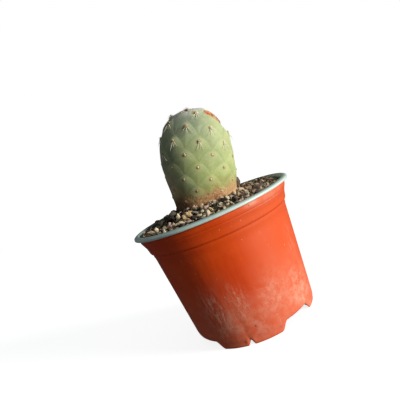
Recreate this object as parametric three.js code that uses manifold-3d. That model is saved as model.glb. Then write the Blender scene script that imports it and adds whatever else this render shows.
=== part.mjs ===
// A potted Tephrocactus geometricus: one egg-shaped stem segment that leans in a thin moulded plastic pot,
// in a gritty mix of pumice and dark lava.
// Millimetres, +Z up. The pot's feet stand on z = 0 and its axis is the Z axis.
// Directions round the pot or the stem are in degrees from the front, -Y, towards +X.

import * as THREE from "three";
import { mergeVertices } from "three/addons/utils/BufferGeometryUtils.js";
import Module from "manifold-3d";

const wasm = await Module();
wasm.setup();

// Pot
const POT_HEIGHT = 81;
const RIM_RADIUS = 53.2;
const RIM_DEPTH = 1.6;
const WALL = 0.9;
const BAND_DEPTH = 14; // from the top of the rim down to the step
const WALL_RADIUS_LOW = 40; // outside of the plain wall, just above the heel
const WALL_RADIUS_HIGH = 46.2; // outside of the plain wall, just below the step
const FLOOR_Z = 5; // underside of the floor, and top of the wide notches
const FOOT_INNER_RADIUS = 33.2;
// Directions where each pair of feet starts and ends, and of the slit that divides it
const FOOT_PAIRS = [
  { start: -43.8, end: 19, slit: -13.3 },
  { start: 51, end: 95.7, slit: 73.3 },
  { start: 136.2, end: 199, slit: 166.7 },
  { start: 231, end: 275.7, slit: 253.3 },
];
const SLIT_HALF_ANGLE = 2;
const SLIT_HEIGHT = 2.8;
const DRAIN_INNER_RADIUS = 30.5;
const DRAIN_OUTER_RADIUS = 35.5;
const DRAIN_HALF_ANGLE = 7;
const POT_SIDES = 48;

// Clearance between pieces that touch
const SEAT_GAP = 0.3;

// Stem, in its own frame: the axis is +Z and zero is level with the pot's rim
const STEM_X = -0.5;
const STEM_Y = 8;
const STEM_LEAN = 11; // degrees, towards +X
const STEM_DEPTH_RATIO = 0.92; // the section is a little flatter from front to back
const STEM_PROFILE = [
  // radius, height
  [11, -11],
  [15.5, -8.6],
  [19, -4.4],
  [20.9, 0],
  [21.6, 8],
  [22.8, 14],
  [23.6, 21],
  [23.9, 29],
  [23.8, 37],
  [22.8, 43],
  [20.6, 48.4],
  [18.3, 53],
  [14.9, 57.6],
  [10.3, 61.2],
  [5.1, 63.1],
  [0, 63.6],
];

// Tubercles stand on a spiral lattice: each areole is one turn of DIVERGENCE on from the one below it.
const DIVERGENCE = -137.5;
const FRONT_AREOLE = { index: 23, direction: -4.4, height: 25.3 };
const CELL_AREA = 131.5; // square millimetres of skin for one tubercle, level with the rim
const CELL_AREA_GROWTH = 1.2; // and more of it for each millimetre of height
const FRONT_CROWDING = 0.24; // radians by which areoles gather towards the front
const AREOLE_PLACE = 0.7; // how far up its tubercle the areole sits
const ARCH = 0.13; // how far the tubercles' upper edges bow outwards
const TUBERCLE_RISE = 0.8; // low on the stem
const TUBERCLE_RISE_HIGH = 1.3; // near the crown
const GROOVE_SHARE = 0.34; // of a tubercle's width, on each side
const TUBERCLE_STEPS = 5;
const LOWEST_NUMBER = -7;
const HIGHEST_NUMBER = 52.2;
const LAST_AREOLE = 51;
const CROWN_RINGS = 3;
const RELIEF_STARTS = 1; // the corky foot of the stem is plain
const RELIEF_FULL = 9;
const RELIEF_FADES = 60.5; // towards the crown
const RELIEF_ENDS = 63.2;

// Areoles and spines
const CUSHION_RADIUS = 1.1;
const CUSHION_RISE = 0.7;
const SPINES_START = 35; // height above the rim
const SPINE_COUNTS = [3, 4, 5, 4];
const SPINE_BASE_RADIUS = 0.4;
const SPINE_LENGTHS = [4.2, 7.8];
const SPINE_LIFT = 17; // degrees from the skin
const SPINE_SPREAD = 27; // degrees between neighbours
const SPINE_SPREAD_CROWN = 58;
const SPINE_ROOT = 1.1;

// Scar where an older segment broke away
const SCAR_DIRECTION = 62;
const SCAR_HEIGHT = 55.5;
const SCAR_SIZE = [6.6, 4.6, 1.5];

// Soil
const SOIL_EDGE = -0.4; // level at the pot's wall, from the rim
const MOUND_RISE = 2.8; // round the stem
const MOUND_TILT = 0.085; // it falls towards +X
const MOUND_START = 21;
const MOUND_WIDTH = { left: 8, right: 12 };
const DIP = { x: 44, y: -8, depth: 2.6, width: 18 };
const GRIT = 0.7;
const SOIL_RINGS = [16, 22, 26.5, 31, 35.5, 40, 44.5, 49, 58];
const SOIL_SIDES = 36;
const STONE_COUNT = 84;
const STONE_SIZES = [1.6, 3.4];
const STONE_RISE = 0.2; // of its size, from the soil's surface to a stone's middle
const STONE_REACH = 46.5;
const STONE_SHIFT = 1.6;
const GOLDEN_ANGLE = Math.PI * (3 - Math.sqrt(5));
const LARGE_STONES = [
  // x, y, size
  [-20.4, -17, 2.6],
  [-16.2, -27, 1.9],
  [-13.2, -21.6, 2.8],
  [-17.8, -40, 2.1],
  [-33.7, -31, 2],
  [6, -20, 2.6],
  [14, -24, 2],
  [22, -19, 1.9],
  [-31, 8, 1.7],
  [20, 34, 1.9],
  [-6, 38, 2.2],
];
const DARK_STONE = { x: 25.6, y: 30, z: 83.9, radii: [2.7, 2.5, 4.6] };
const SEED = 11;

const radians = THREE.MathUtils.degToRad;
const lerp = THREE.MathUtils.lerp;

function seededRandom(seed) {
  let state = seed >>> 0;
  return () => {
    state = (state + 0x6d2b79f5) >>> 0;
    let t = Math.imul(state ^ (state >>> 15), 1 | state);
    t = (t + Math.imul(t ^ (t >>> 7), 61 | t)) ^ t;
    return ((t ^ (t >>> 14)) >>> 0) / 4294967296;
  };
}

// Solids

function solidFrom(geometry) {
  const bare = new THREE.BufferGeometry();
  bare.setAttribute("position", geometry.getAttribute("position"));
  bare.setIndex(geometry.index);
  const merged = mergeVertices(bare, 1e-4);
  const corners = merged.index.array;
  const triVerts = [];
  for (let i = 0; i < corners.length; i += 3) {
    const [a, b, c] = [corners[i], corners[i + 1], corners[i + 2]];
    if (a !== b && b !== c && c !== a) triVerts.push(a, b, c);
  }
  return new wasm.Manifold(
    new wasm.Mesh({
      numProp: 3,
      vertProperties: new Float32Array(merged.attributes.position.array),
      triVerts: new Uint32Array(triVerts),
    }),
  );
}

function geometryFrom(solid) {
  const { vertProperties, triVerts } = solid.getMesh();
  const geometry = new THREE.BufferGeometry();
  geometry.setAttribute("position", new THREE.BufferAttribute(vertProperties, 3));
  geometry.setIndex(new THREE.BufferAttribute(triVerts, 1));
  geometry.computeVertexNormals();
  return geometry;
}

function joined(solids) {
  return solids.reduce((whole, solid) => whole.add(solid));
}

// A solid of revolution about Z. The profile runs up the outside, as [radius, height], axis to axis.
function turned(profile, sides) {
  const points = profile.map(([radius, height]) => new THREE.Vector2(radius, height));
  return solidFrom(new THREE.LatheGeometry(points, sides).rotateX(Math.PI / 2));
}

// A block between two radii, two directions and two heights.
function sector(innerRadius, outerRadius, centre, halfAngle, low, high) {
  const start = radians(centre - halfAngle - 90);
  const end = radians(centre + halfAngle - 90);
  const outline = new THREE.Shape();
  outline.absarc(0, 0, outerRadius, start, end, false);
  if (innerRadius > 0) outline.absarc(0, 0, innerRadius, end, start, true);
  else outline.lineTo(0, 0);
  const block = new THREE.ExtrudeGeometry(outline, {
    depth: high - low,
    bevelEnabled: false,
    curveSegments: 8,
  });
  return solidFrom(indexed(block.translate(0, 0, low)));
}

function indexed(geometry) {
  if (geometry.index) return geometry;
  const count = geometry.getAttribute("position").count;
  return geometry.setIndex([...Array(count).keys()]);
}

// Pot

const fromRim = (depth) => POT_HEIGHT - depth;

function potOutside() {
  return [
    [0, 0],
    [WALL_RADIUS_LOW - 1.3, 0],
    [WALL_RADIUS_LOW - 0.5, 0.7],
    [WALL_RADIUS_LOW, 2.4],
    [WALL_RADIUS_HIGH, fromRim(BAND_DEPTH + 0.3)],
    [47.4, fromRim(BAND_DEPTH - 0.5)],
    [48, fromRim(11)],
    [48.3, fromRim(9.3)],
    [49.4, fromRim(7.4)],
    [50.2, fromRim(5.8)],
    [50.5, fromRim(4.4)],
    [50.6, fromRim(RIM_DEPTH + 0.1)],
    [52.7, fromRim(RIM_DEPTH)],
    [RIM_RADIUS, fromRim(1.3)],
    [RIM_RADIUS, fromRim(0.9)],
    [52.2, fromRim(0.2)],
    [51, fromRim(0)],
    [0, fromRim(0)],
  ];
}

// The space inside the pot, or with an inset the fill that stands in it, up to a height above the rim.
function potBowl(inset, top) {
  const wallRadius = (z) =>
    lerp(WALL_RADIUS_LOW, WALL_RADIUS_HIGH, (z - 2) / (fromRim(BAND_DEPTH) - 2)) - WALL - inset;
  const floorTop = FLOOR_Z + WALL + inset;
  return turned(
    [
      [0, floorTop],
      [wallRadius(floorTop) - 0.8, floorTop],
      [wallRadius(floorTop + 0.8), floorTop + 0.8],
      [wallRadius(fromRim(BAND_DEPTH + 1)), fromRim(BAND_DEPTH + 1)],
      [46.5 - inset, fromRim(BAND_DEPTH - 0.9)],
      [47.1 - inset, fromRim(9.3)],
      [49 - inset, fromRim(5.4)],
      [49.3 - inset, fromRim(1)],
      [49.8 - inset, top],
      [0, top],
    ],
    POT_SIDES,
  );
}

// The feet are hollow, and open to the bowl above them.
function footHollow(centre, halfAngle) {
  const [inner, outer] = [FOOT_INNER_RADIUS + WALL, WALL_RADIUS_LOW - WALL - 0.4];
  return sector(inner, outer, centre, halfAngle - 1.4, WALL, FLOOR_Z + 2);
}

// Calls make(centre, halfAngle) for each foot.
function eachFoot(make) {
  return FOOT_PAIRS.flatMap(({ start, end, slit }) => {
    const feet = [
      [start, slit - SLIT_HALF_ANGLE],
      [slit + SLIT_HALF_ANGLE, end],
    ];
    return feet.map(([from, to]) => make((from + to) / 2, (to - from) / 2));
  });
}

function makePot() {
  const recess = turned(
    [
      [0, -1],
      [FOOT_INNER_RADIUS, -1],
      [FOOT_INNER_RADIUS, FLOOR_Z],
      [0, FLOOR_Z],
    ],
    POT_SIDES,
  );
  let pot = turned(potOutside(), POT_SIDES).subtract(recess);
  FOOT_PAIRS.forEach(({ end, slit }, pair) => {
    const next = FOOT_PAIRS[(pair + 1) % FOOT_PAIRS.length].start;
    const notchHalf = ((next - end + 360) % 360) / 2;
    const notch = end + notchHalf;
    pot = pot
      .subtract(sector(0, RIM_RADIUS, notch, notchHalf, -1, FLOOR_Z))
      .subtract(sector(FOOT_INNER_RADIUS - 2, RIM_RADIUS, slit, SLIT_HALF_ANGLE, -1, SLIT_HEIGHT))
      .subtract(
        sector(DRAIN_INNER_RADIUS, DRAIN_OUTER_RADIUS, notch, DRAIN_HALF_ANGLE, FLOOR_Z - 1, FLOOR_Z + 2),
      );
  });
  return pot.subtract(joined([potBowl(0, POT_HEIGHT + 1), ...eachFoot(footHollow)]));
}

// Stem

// Heights, radii and lattice numbers at close steps up the stem's profile.
function makeStemTable() {
  const curve = new THREE.SplineCurve(STEM_PROFILE.map(([r, h]) => new THREE.Vector2(r, h)));
  const points = curve.getPoints(STEM_PROFILE.length * 24);
  const girth = Math.PI * (1 + STEM_DEPTH_RATIO); // of a section, for each millimetre of radius
  let number = 0;
  let numberAtFront = 0;
  const rows = [{ height: points[0].y, radius: points[0].x, number }];
  for (let i = 1; i < points.length; i++) {
    const [below, above] = [points[i - 1], points[i]];
    const skin = girth * 0.5 * (below.x + above.x) * below.distanceTo(above);
    number += skin / (CELL_AREA + CELL_AREA_GROWTH * above.y);
    rows.push({ height: above.y, radius: Math.max(above.x, 0), number });
    if (above.y <= FRONT_AREOLE.height) numberAtFront = number;
  }
  const shift = FRONT_AREOLE.index - numberAtFront;
  rows.forEach((row) => (row.number += shift));
  return rows;
}

const stemTable = makeStemTable();

// The table's values where its named column reaches a value.
function stemWhere(column, value) {
  const next = stemTable.findIndex((row) => row[column] >= value);
  if (next < 0) return stemTable[stemTable.length - 1];
  if (next === 0) return stemTable[0];
  const [below, above] = [stemTable[next - 1], stemTable[next]];
  const share = (value - below[column]) / (above[column] - below[column]);
  return {
    height: lerp(below.height, above.height, share),
    radius: lerp(below.radius, above.radius, share),
    number: lerp(below.number, above.number, share),
  };
}

// A point of the smooth stem, by its direction on the lattice and its lattice number, moved out by rise.
function stemPoint(turn, number, rise = 0) {
  const { height, radius } = stemWhere("number", number);
  const angle = radians(turn);
  const direction = angle - FRONT_CROWDING * Math.sin(angle);
  const slope = stemSlope(number);
  const out = radius + rise * Math.cos(slope);
  return new THREE.Vector3(
    out * Math.sin(direction),
    -out * STEM_DEPTH_RATIO * Math.cos(direction),
    height + rise * Math.sin(slope),
  );
}

// How far the skin's normal points up at a lattice number, in radians.
function stemSlope(number) {
  const below = stemWhere("number", number - 0.4);
  const above = stemWhere("number", number + 0.4);
  return Math.atan2(below.radius - above.radius, above.height - below.height);
}

// The lattice's two families of spirals: five steps climb to the right and eight to the left.
const RIGHT = { steps: 5, turn: 5 * DIVERGENCE + 720 };
const LEFT = { steps: 8, turn: 8 * DIVERGENCE + 1080 };
const bow = (share) => ARCH * Math.abs(Math.sin(Math.PI * share));
const AREOLE_OFFSET = AREOLE_PLACE + bow(AREOLE_PLACE);

const areoleTurn = (index) => FRONT_AREOLE.direction + (index - FRONT_AREOLE.index) * DIVERGENCE;

// A place on the lattice, where whole numbers are the corners of tubercles. Their edges bow up into arches.
function latticePlace(right, left) {
  const across = right + bow(left) - AREOLE_OFFSET;
  const along = left + bow(right) - AREOLE_OFFSET;
  return {
    turn: areoleTurn(0) + across * RIGHT.turn + along * LEFT.turn,
    number: across * RIGHT.steps + along * LEFT.steps,
  };
}

function smooth(value, low, high) {
  return THREE.MathUtils.smoothstep(value, low, high);
}

function riseAt(height) {
  const fade = smooth(height, RELIEF_STARTS, RELIEF_FULL) * (1 - smooth(height, RELIEF_FADES, RELIEF_ENDS));
  return fade * lerp(TUBERCLE_RISE, TUBERCLE_RISE_HIGH, smooth(height, 38, 50));
}

function reliefAt(right, left, height) {
  const toEdge = (value) => {
    const share = value - Math.floor(value);
    return Math.min(share, 1 - share);
  };
  const edge = Math.min(toEdge(right), toEdge(left), GROOVE_SHARE) / GROOVE_SHARE;
  return riseAt(height) * (1 - (1 - edge) ** 2);
}

// The skin as a net of small quads that follow the spirals, closed by a fan at the foot and a plain crown.
function makeSkin() {
  const step = 1 / TUBERCLE_STEPS;
  const [roundRight, roundLeft] = [LEFT.steps * TUBERCLE_STEPS, -RIGHT.steps * TUBERCLE_STEPS];
  const positions = [];
  const places = [];
  const found = new Map();
  const addPoint = (place, rise) => {
    places.push(place);
    return positions.push(...stemPoint(place.turn, place.number, rise).toArray()) / 3 - 1;
  };
  const plainTurn = (i, j) => step * (i * RIGHT.turn + j * LEFT.turn);
  const plainNumber = (i, j) =>
    RIGHT.steps * (i * step - AREOLE_OFFSET) + LEFT.steps * (j * step - AREOLE_OFFSET);
  const corner = (i, j) => {
    const rounds = Math.floor(plainTurn(i, j) / 360 + 1e-6);
    const [u, v] = [i - rounds * roundRight, j - rounds * roundLeft];
    const key = `${u},${v}`;
    if (!found.has(key)) {
      const place = latticePlace(u * step, v * step);
      const { height } = stemWhere("number", place.number);
      found.set(key, addPoint(place, reliefAt(u * step, v * step, height)));
    }
    return found.get(key);
  };
  const triangles = [];
  const reach = TUBERCLE_STEPS * 40;
  for (let i = -reach; i <= reach; i++) {
    for (let j = -reach; j <= reach; j++) {
      const turn = plainTurn(i, j);
      if (turn < -1e-6 || turn >= 360 - 1e-6 || plainNumber(i, j) < LOWEST_NUMBER) continue;
      if (plainNumber(i + 1, j + 1) > HIGHEST_NUMBER) continue;
      const quad = [corner(i, j), corner(i + 1, j), corner(i + 1, j + 1), corner(i, j + 1)];
      const [a, b, c, d] = quad;
      if (quad.every((k) => places[k].number <= HIGHEST_NUMBER)) triangles.push([a, b, c], [a, c, d]);
    }
  }
  const edges = new Set(triangles.flatMap(([a, b, c]) => [`${a},${b}`, `${b},${c}`, `${c},${a}`]));
  const open = [...edges].filter((edge) => !edges.has(edge.split(",").reverse().join(",")));
  const foot = positions.push(0, 0, STEM_PROFILE[0][1]) / 3 - 1;
  const crown = positions.push(0, 0, STEM_PROFILE.at(-1)[1]) / 3 - 1;
  places.push({}, {});
  const crownNumber = stemTable.at(-1).number;
  const ladders = new Map();
  const ladder = (from) => {
    if (!ladders.has(from)) {
      const { turn, number } = places[from];
      const rungs = [from];
      for (let ring = 1; ring < CROWN_RINGS; ring++) {
        rungs.push(addPoint({ turn, number: lerp(number, crownNumber, ring / CROWN_RINGS) }, 0));
      }
      ladders.set(from, rungs);
    }
    return ladders.get(from);
  };
  for (const edge of open) {
    const [a, b] = edge.split(",").map(Number);
    if (places[a].number < crownNumber / 2) {
      triangles.push([b, a, foot]);
      continue;
    }
    const [left, right] = [ladder(b), ladder(a)];
    for (let ring = 1; ring < CROWN_RINGS; ring++) {
      triangles.push([left[ring - 1], right[ring - 1], right[ring]], [left[ring - 1], right[ring], left[ring]]);
    }
    triangles.push([left.at(-1), right.at(-1), crown]);
  }
  const geometry = new THREE.BufferGeometry();
  geometry.setAttribute("position", new THREE.Float32BufferAttribute(positions, 3));
  geometry.setIndex(triangles.flat());
  return solidFrom(geometry);
}

// Where the areoles are: a point on the skin, its outward normal and the way down along the skin.
function makeAreoles() {
  const areoles = [];
  for (let index = 1; index <= LAST_AREOLE; index++) {
    const turn = areoleTurn(index);
    const { height } = stemWhere("number", index);
    const rise = riseAt(height);
    const point = stemPoint(turn, index, rise);
    const below = stemPoint(turn, index - 0.5, rise);
    const beside = stemPoint(turn + 2, index, rise);
    const down = below.sub(point).normalize();
    const normal = down.clone().cross(beside.sub(point)).normalize();
    areoles.push({ index, height, point, normal, down });
  }
  return areoles;
}

function makeCushion({ point, normal, height }) {
  const size = height < RELIEF_FULL ? 0.7 : 1;
  const dome = new THREE.SphereGeometry(1, 6, 3);
  dome.scale(CUSHION_RADIUS * size, CUSHION_RISE * size, CUSHION_RADIUS * size);
  dome.applyQuaternion(new THREE.Quaternion().setFromUnitVectors(new THREE.Vector3(0, 1, 0), normal));
  dome.translate(...point.toArray());
  return solidFrom(dome);
}

// Three-sided needles that fan out down the skin from one areole.
function makeSpines({ index, height, point, normal, down }, random) {
  const count = SPINE_COUNTS[index % SPINE_COUNTS.length];
  const spread = lerp(SPINE_SPREAD, SPINE_SPREAD_CROWN, smooth(height, 57, 62));
  const spines = [];
  for (let i = 0; i < count; i++) {
    const length = lerp(SPINE_LENGTHS[0], SPINE_LENGTHS[1], random()) + SPINE_ROOT;
    const side = radians((i - (count - 1) / 2) * spread + lerp(-6, 6, random()));
    const along = down.clone().applyAxisAngle(normal, side);
    const lift = radians(SPINE_LIFT + lerp(-4, 6, random()));
    const way = along.multiplyScalar(Math.cos(lift)).addScaledVector(normal, Math.sin(lift));
    const needle = new THREE.ConeGeometry(SPINE_BASE_RADIUS, length, 3).translate(0, length / 2, 0);
    needle.applyQuaternion(new THREE.Quaternion().setFromUnitVectors(new THREE.Vector3(0, 1, 0), way));
    const root = point.clone().addScaledVector(way, -SPINE_ROOT);
    spines.push(solidFrom(needle.translate(...root.toArray())));
  }
  return spines;
}

function makeScar() {
  const { radius } = stemWhere("height", SCAR_HEIGHT);
  const { number } = stemWhere("height", SCAR_HEIGHT);
  const slope = stemSlope(number);
  const direction = radians(SCAR_DIRECTION);
  const plate = new THREE.SphereGeometry(1, 12, 6).scale(SCAR_SIZE[0], SCAR_SIZE[1], SCAR_SIZE[2]);
  plate.rotateX(Math.PI / 2).rotateX(-slope).rotateZ(direction);
  plate.translate(
    radius * Math.sin(direction),
    -radius * STEM_DEPTH_RATIO * Math.cos(direction),
    SCAR_HEIGHT,
  );
  return solidFrom(plate);
}

function makeStem() {
  const random = seededRandom(SEED);
  const pieces = [makeSkin(), makeScar()];
  for (const areole of makeAreoles()) {
    pieces.push(makeCushion(areole));
    if (areole.height > SPINES_START) pieces.push(...makeSpines(areole, random));
  }
  return joined(pieces);
}

// Soil

const stemPlacement = new THREE.Matrix4().compose(
  new THREE.Vector3(STEM_X, STEM_Y, POT_HEIGHT),
  new THREE.Quaternion().setFromAxisAngle(new THREE.Vector3(0, 1, 0), radians(STEM_LEAN)),
  new THREE.Vector3(1, 1, 1),
);

const bell = (distance, width) => Math.exp(-((distance / width) ** 2));

// The soil mounds up round the stem, most on the left, and dips at the wall on the right.
function soilLevel(x, y) {
  const fromStem = Math.max(0, Math.hypot(x - STEM_X, y - STEM_Y) - MOUND_START);
  const width = lerp(MOUND_WIDTH.left, MOUND_WIDTH.right, smooth(x, -20, 0));
  const mound = (MOUND_RISE - MOUND_TILT * x) * bell(fromStem, width);
  const dip = DIP.depth * bell(Math.hypot(x - DIP.x, y - DIP.y), DIP.width);
  return POT_HEIGHT + SOIL_EDGE + mound - dip;
}

function makeBed(random) {
  const positions = [0, 0, soilLevel(0, 0)];
  for (const ring of SOIL_RINGS) {
    for (let side = 0; side < SOIL_SIDES; side++) {
      const angle = ((side + (SOIL_RINGS.indexOf(ring) % 2) / 2) * 2 * Math.PI) / SOIL_SIDES;
      const [x, y] = [ring * Math.cos(angle), ring * Math.sin(angle)];
      positions.push(x, y, soilLevel(x, y) + GRIT * lerp(-1, 1, random()));
    }
  }
  const last = (SOIL_RINGS.length - 1) * SOIL_SIDES + 1;
  const bottom = positions.length / 3;
  for (let side = 0; side < SOIL_SIDES; side++) {
    const source = 3 * (last + side);
    positions.push(positions[source], positions[source + 1], 0);
  }
  positions.push(0, 0, 0);
  const triangles = [];
  const next = (side) => (side + 1) % SOIL_SIDES;
  for (let side = 0; side < SOIL_SIDES; side++) {
    triangles.push(0, 1 + side, 1 + next(side));
    triangles.push(bottom + SOIL_SIDES, bottom + next(side), bottom + side);
    triangles.push(last + side, bottom + side, bottom + next(side));
    triangles.push(last + side, bottom + next(side), last + next(side));
    for (let ring = 1; ring < SOIL_RINGS.length; ring++) {
      const [near, far] = [1 + (ring - 1) * SOIL_SIDES, 1 + ring * SOIL_SIDES];
      const stagger = ring % 2 === 1;
      const [a, b] = [near + side, near + next(side)];
      const [c, d] = [far + side, far + next(side)];
      if (stagger) triangles.push(a, c, b, b, c, d);
      else triangles.push(a, c, d, a, d, b);
    }
  }
  const geometry = new THREE.BufferGeometry();
  geometry.setAttribute("position", new THREE.Float32BufferAttribute(positions, 3));
  geometry.setIndex(triangles);
  return solidFrom(geometry);
}

function makeStone(x, y, size, random) {
  const stone = new THREE.IcosahedronGeometry(size, 0);
  stone.scale(lerp(0.75, 1.25, random()), lerp(0.75, 1.15, random()), lerp(0.6, 0.95, random()));
  stone.rotateX(Math.PI * random()).rotateY(Math.PI * random()).rotateZ(Math.PI * random());
  stone.translate(x, y, soilLevel(x, y) + size * STONE_RISE);
  return solidFrom(indexed(stone));
}

// Stones lie all over the soil, evenly but for a random shift, and clear of the stem.
function makeStones(random) {
  const dark = new THREE.IcosahedronGeometry(1, 1).scale(...DARK_STONE.radii);
  const stones = [solidFrom(indexed(dark.translate(DARK_STONE.x, DARK_STONE.y, DARK_STONE.z)))];
  for (const [x, y, size] of LARGE_STONES) stones.push(makeStone(x, y, size, random));
  for (let i = 0; i < STONE_COUNT; i++) {
    const size = lerp(STONE_SIZES[0], STONE_SIZES[1], random() ** 1.5);
    const angle = i * GOLDEN_ANGLE;
    const radius = STONE_REACH * Math.sqrt((i + 0.5) / STONE_COUNT);
    const x = radius * Math.cos(angle) + STONE_SHIFT * lerp(-1, 1, random());
    const y = radius * Math.sin(angle) + STONE_SHIFT * lerp(-1, 1, random());
    const clearOfStem = Math.hypot(x - STEM_X, y - STEM_Y) > 21.5 + size;
    if (clearOfStem) stones.push(makeStone(x, y, size, random));
  }
  return stones;
}

// The plain hole that the stem stands in, a little wider than the stem.
function makeHole() {
  const rows = stemTable.filter((row, i) => i % 24 === 0 && row.height < 14);
  const room = (height) => (TUBERCLE_RISE + CUSHION_RISE) * smooth(height, -1, RELIEF_FULL);
  const profile = rows.map(({ radius, height }) => [radius + SEAT_GAP + 0.15 + room(height), height]);
  const [low, high] = [STEM_PROFILE[0][1] - SEAT_GAP, rows.at(-1).height];
  const points = [[0, low], [profile[0][0] - 0.5, low], ...profile, [0, high]];
  const geometry = new THREE.LatheGeometry(
    points.map(([r, h]) => new THREE.Vector2(r, h)),
    48,
  ).rotateX(Math.PI / 2);
  geometry.scale(1, STEM_DEPTH_RATIO + 0.01, 1).applyMatrix4(stemPlacement);
  return solidFrom(geometry);
}

function makeSoil() {
  const random = seededRandom(SEED + 1);
  const heap = joined([makeBed(random), ...makeStones(random)]);
  return heap.intersect(potBowl(SEAT_GAP, POT_HEIGHT + 14)).subtract(makeHole());
}

// The largest of a solid's separate bodies, for where a cut leaves loose scraps.
function mainBody(solid) {
  return solid.decompose().reduce((most, body) => (body.volume() > most.volume() ? body : most));
}

// Assembly

const potPlastic = new THREE.MeshStandardMaterial({ color: 0xd9501f, roughness: 0.45, metalness: 0 });
const soilMix = new THREE.MeshStandardMaterial({ color: 0x5b5044, roughness: 0.95, metalness: 0 });
const stemSkin = new THREE.MeshStandardMaterial({ color: 0x8aa873, roughness: 0.7, metalness: 0 });

const potMesh = new THREE.Mesh(geometryFrom(makePot()), potPlastic);
potMesh.name = "pot";

const soilMesh = new THREE.Mesh(geometryFrom(mainBody(makeSoil())), soilMix);
soilMesh.name = "soil";

const stemMesh = new THREE.Mesh(geometryFrom(makeStem()), stemSkin);
stemMesh.name = "cactus_stem";
stemMesh.applyMatrix4(stemPlacement);

const pottedCactus = new THREE.Group();
pottedCactus.add(potMesh, soilMesh, stemMesh);

export default pottedCactus;
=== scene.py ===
import math

import bpy
import numpy as np
from mathutils import Matrix, noise


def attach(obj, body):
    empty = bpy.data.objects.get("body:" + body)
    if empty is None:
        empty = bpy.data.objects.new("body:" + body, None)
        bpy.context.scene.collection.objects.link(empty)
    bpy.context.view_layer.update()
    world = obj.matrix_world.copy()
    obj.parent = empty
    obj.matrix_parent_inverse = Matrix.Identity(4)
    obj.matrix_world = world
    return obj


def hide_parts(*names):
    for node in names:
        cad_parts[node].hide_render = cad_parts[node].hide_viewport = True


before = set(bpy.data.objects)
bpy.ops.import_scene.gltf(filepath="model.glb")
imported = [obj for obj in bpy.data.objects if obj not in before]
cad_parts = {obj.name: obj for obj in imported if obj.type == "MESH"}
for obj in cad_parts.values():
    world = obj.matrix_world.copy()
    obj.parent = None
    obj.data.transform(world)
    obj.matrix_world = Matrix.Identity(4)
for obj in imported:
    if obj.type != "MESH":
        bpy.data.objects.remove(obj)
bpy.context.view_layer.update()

# All lengths below are in millimetres, and METRE turns them into the frame's metres.
# Directions are in degrees from the front, -Y, towards +X.
METRE = 0.001
SEED = 11

# Pot
POT_HEIGHT = 81
WALL = 0.9
WALL_LOW = {"radius": 40, "z": 2}
WALL_HIGH = {"radius": 46.2, "z": 67.2}
FLOOR_Z = 5
# Directions where each pair of feet starts and ends, and of the slit that divides it
FOOT_PAIRS = [(-43.6, 18.8, -13.3), (51, 95.7, 73.3), (136.4, 198.8, 166.7), (231, 275.7, 253.3)]
FOOT_TAPER = 1.3
FOOT_SIDE = 4
SLIT_HALF_ANGLE = 3.2
SLIT_HEIGHT = 3.2
FOOT_INNER_RADIUS = 33.2
DRAIN = {"inner": 30.5, "outer": 35.5, "half_angle": 7}
# The ledge on the feet and the crease that slants up from one slit
LEDGE_DEPTH = 0.28
CREASE = {"direction": -14, "slant": 0.3, "slants_from": 14.5, "depth": 0.13, "width": 1.8}
POT_COLUMNS = 480
# Up to here the wall's rings of points level out from the feet's uneven edge.
WALL_BLEND_Z = 9
WALL_BLEND_SHARES = (0.14, 0.28, 0.42, 0.56, 0.7, 0.85, 1)
WALL_HEIGHTS = (9.5, 11, 13, 16, 20, 25, 31, 37, 43, 49, 55, 60, 64)
INSIDE_HEIGHTS = (60, 50, 40, 30, 20, 14, WALL_BLEND_Z)
# Rings of points under the floor, close together where the feet begin
UNDER_RADII = (4, 12, 20, 26, 30.5, 32.5, 32.9, 33.2, 33.5, 33.8, 35.5, 37, 38, 38.6, 39)
EDGE_RADIUS = WALL_LOW["radius"] - 0.5
# The rounded heel: height above the underside, and how far it stands in from the wall's line
HEEL = [(0.05, 1.0), (0.22, 0.72), (0.5, 0.52), (0.9, 0.36), (1.5, 0.21), (2.3, 0.09), (3.2, 0.02)]
# The outside of the band, the rolled lip, and the inside down to the soil: radius, and depth from the rim
BAND_OUTSIDE = [
    (46.2, 16.4), (46.32, 15), (46.4, 14.4), (46.5, 14.15), (46.78, 13.9), (47.1, 13.7), (47.4, 13.45),
    (47.6, 13.1), (47.74, 12.5), (47.9, 11.7), (48.07, 10.8), (48.28, 9.9), (48.56, 9.1), (48.88, 8.3),
    (49.2, 7.6), (49.44, 7.1), (49.47, 6.92), (49.42, 6.75), (49.5, 6.6), (49.72, 6.4), (50.0, 5.8),
    (50.25, 5.1), (50.42, 4.4), (50.5, 3.6), (50.55, 2.9), (50.65, 2.5), (50.85, 2.3),
]
LIP = [
    (51.3, 2.22), (51.9, 2.22), (52.5, 2.2), (52.95, 2.15), (53.17, 2.05), (53.27, 1.88), (53.3, 1.62),
    (53.3, 1.28), (53.2, 0.98), (52.95, 0.7), (52.5, 0.45), (52.05, 0.25), (51.5, 0.1), (51, 0.03),
    (50.5, 0), (50.1, 0.08), (49.85, 0.3), (49.65, 0.8),
]
LINING = [
    (49.4, 2), (49.3, 3.4), (49.1, 5), (48.4, 6.6), (47.6, 8), (47, 9.6), (46.8, 11.4), (46.4, 12.9),
    (46, 13.8), (45.6, 14.6), (45.4, 16.2),
]

# Stem, in its own frame: zero is level with the pot's rim
STEM_BASE = (-0.5, 8, POT_HEIGHT)
STEM_LEAN = 11
STEM_DEPTH_RATIO = 0.92
STEM_PROFILE = [
    (11, -11), (15.5, -8.6), (19, -4.4), (20.9, 0), (21.6, 8), (22.8, 14), (23.6, 21), (23.9, 29),
    (23.8, 37), (22.8, 43), (20.6, 48.4), (18.3, 53), (14.9, 57.6), (10.3, 61.2), (5.1, 63.1), (0, 63.6),
]
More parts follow.
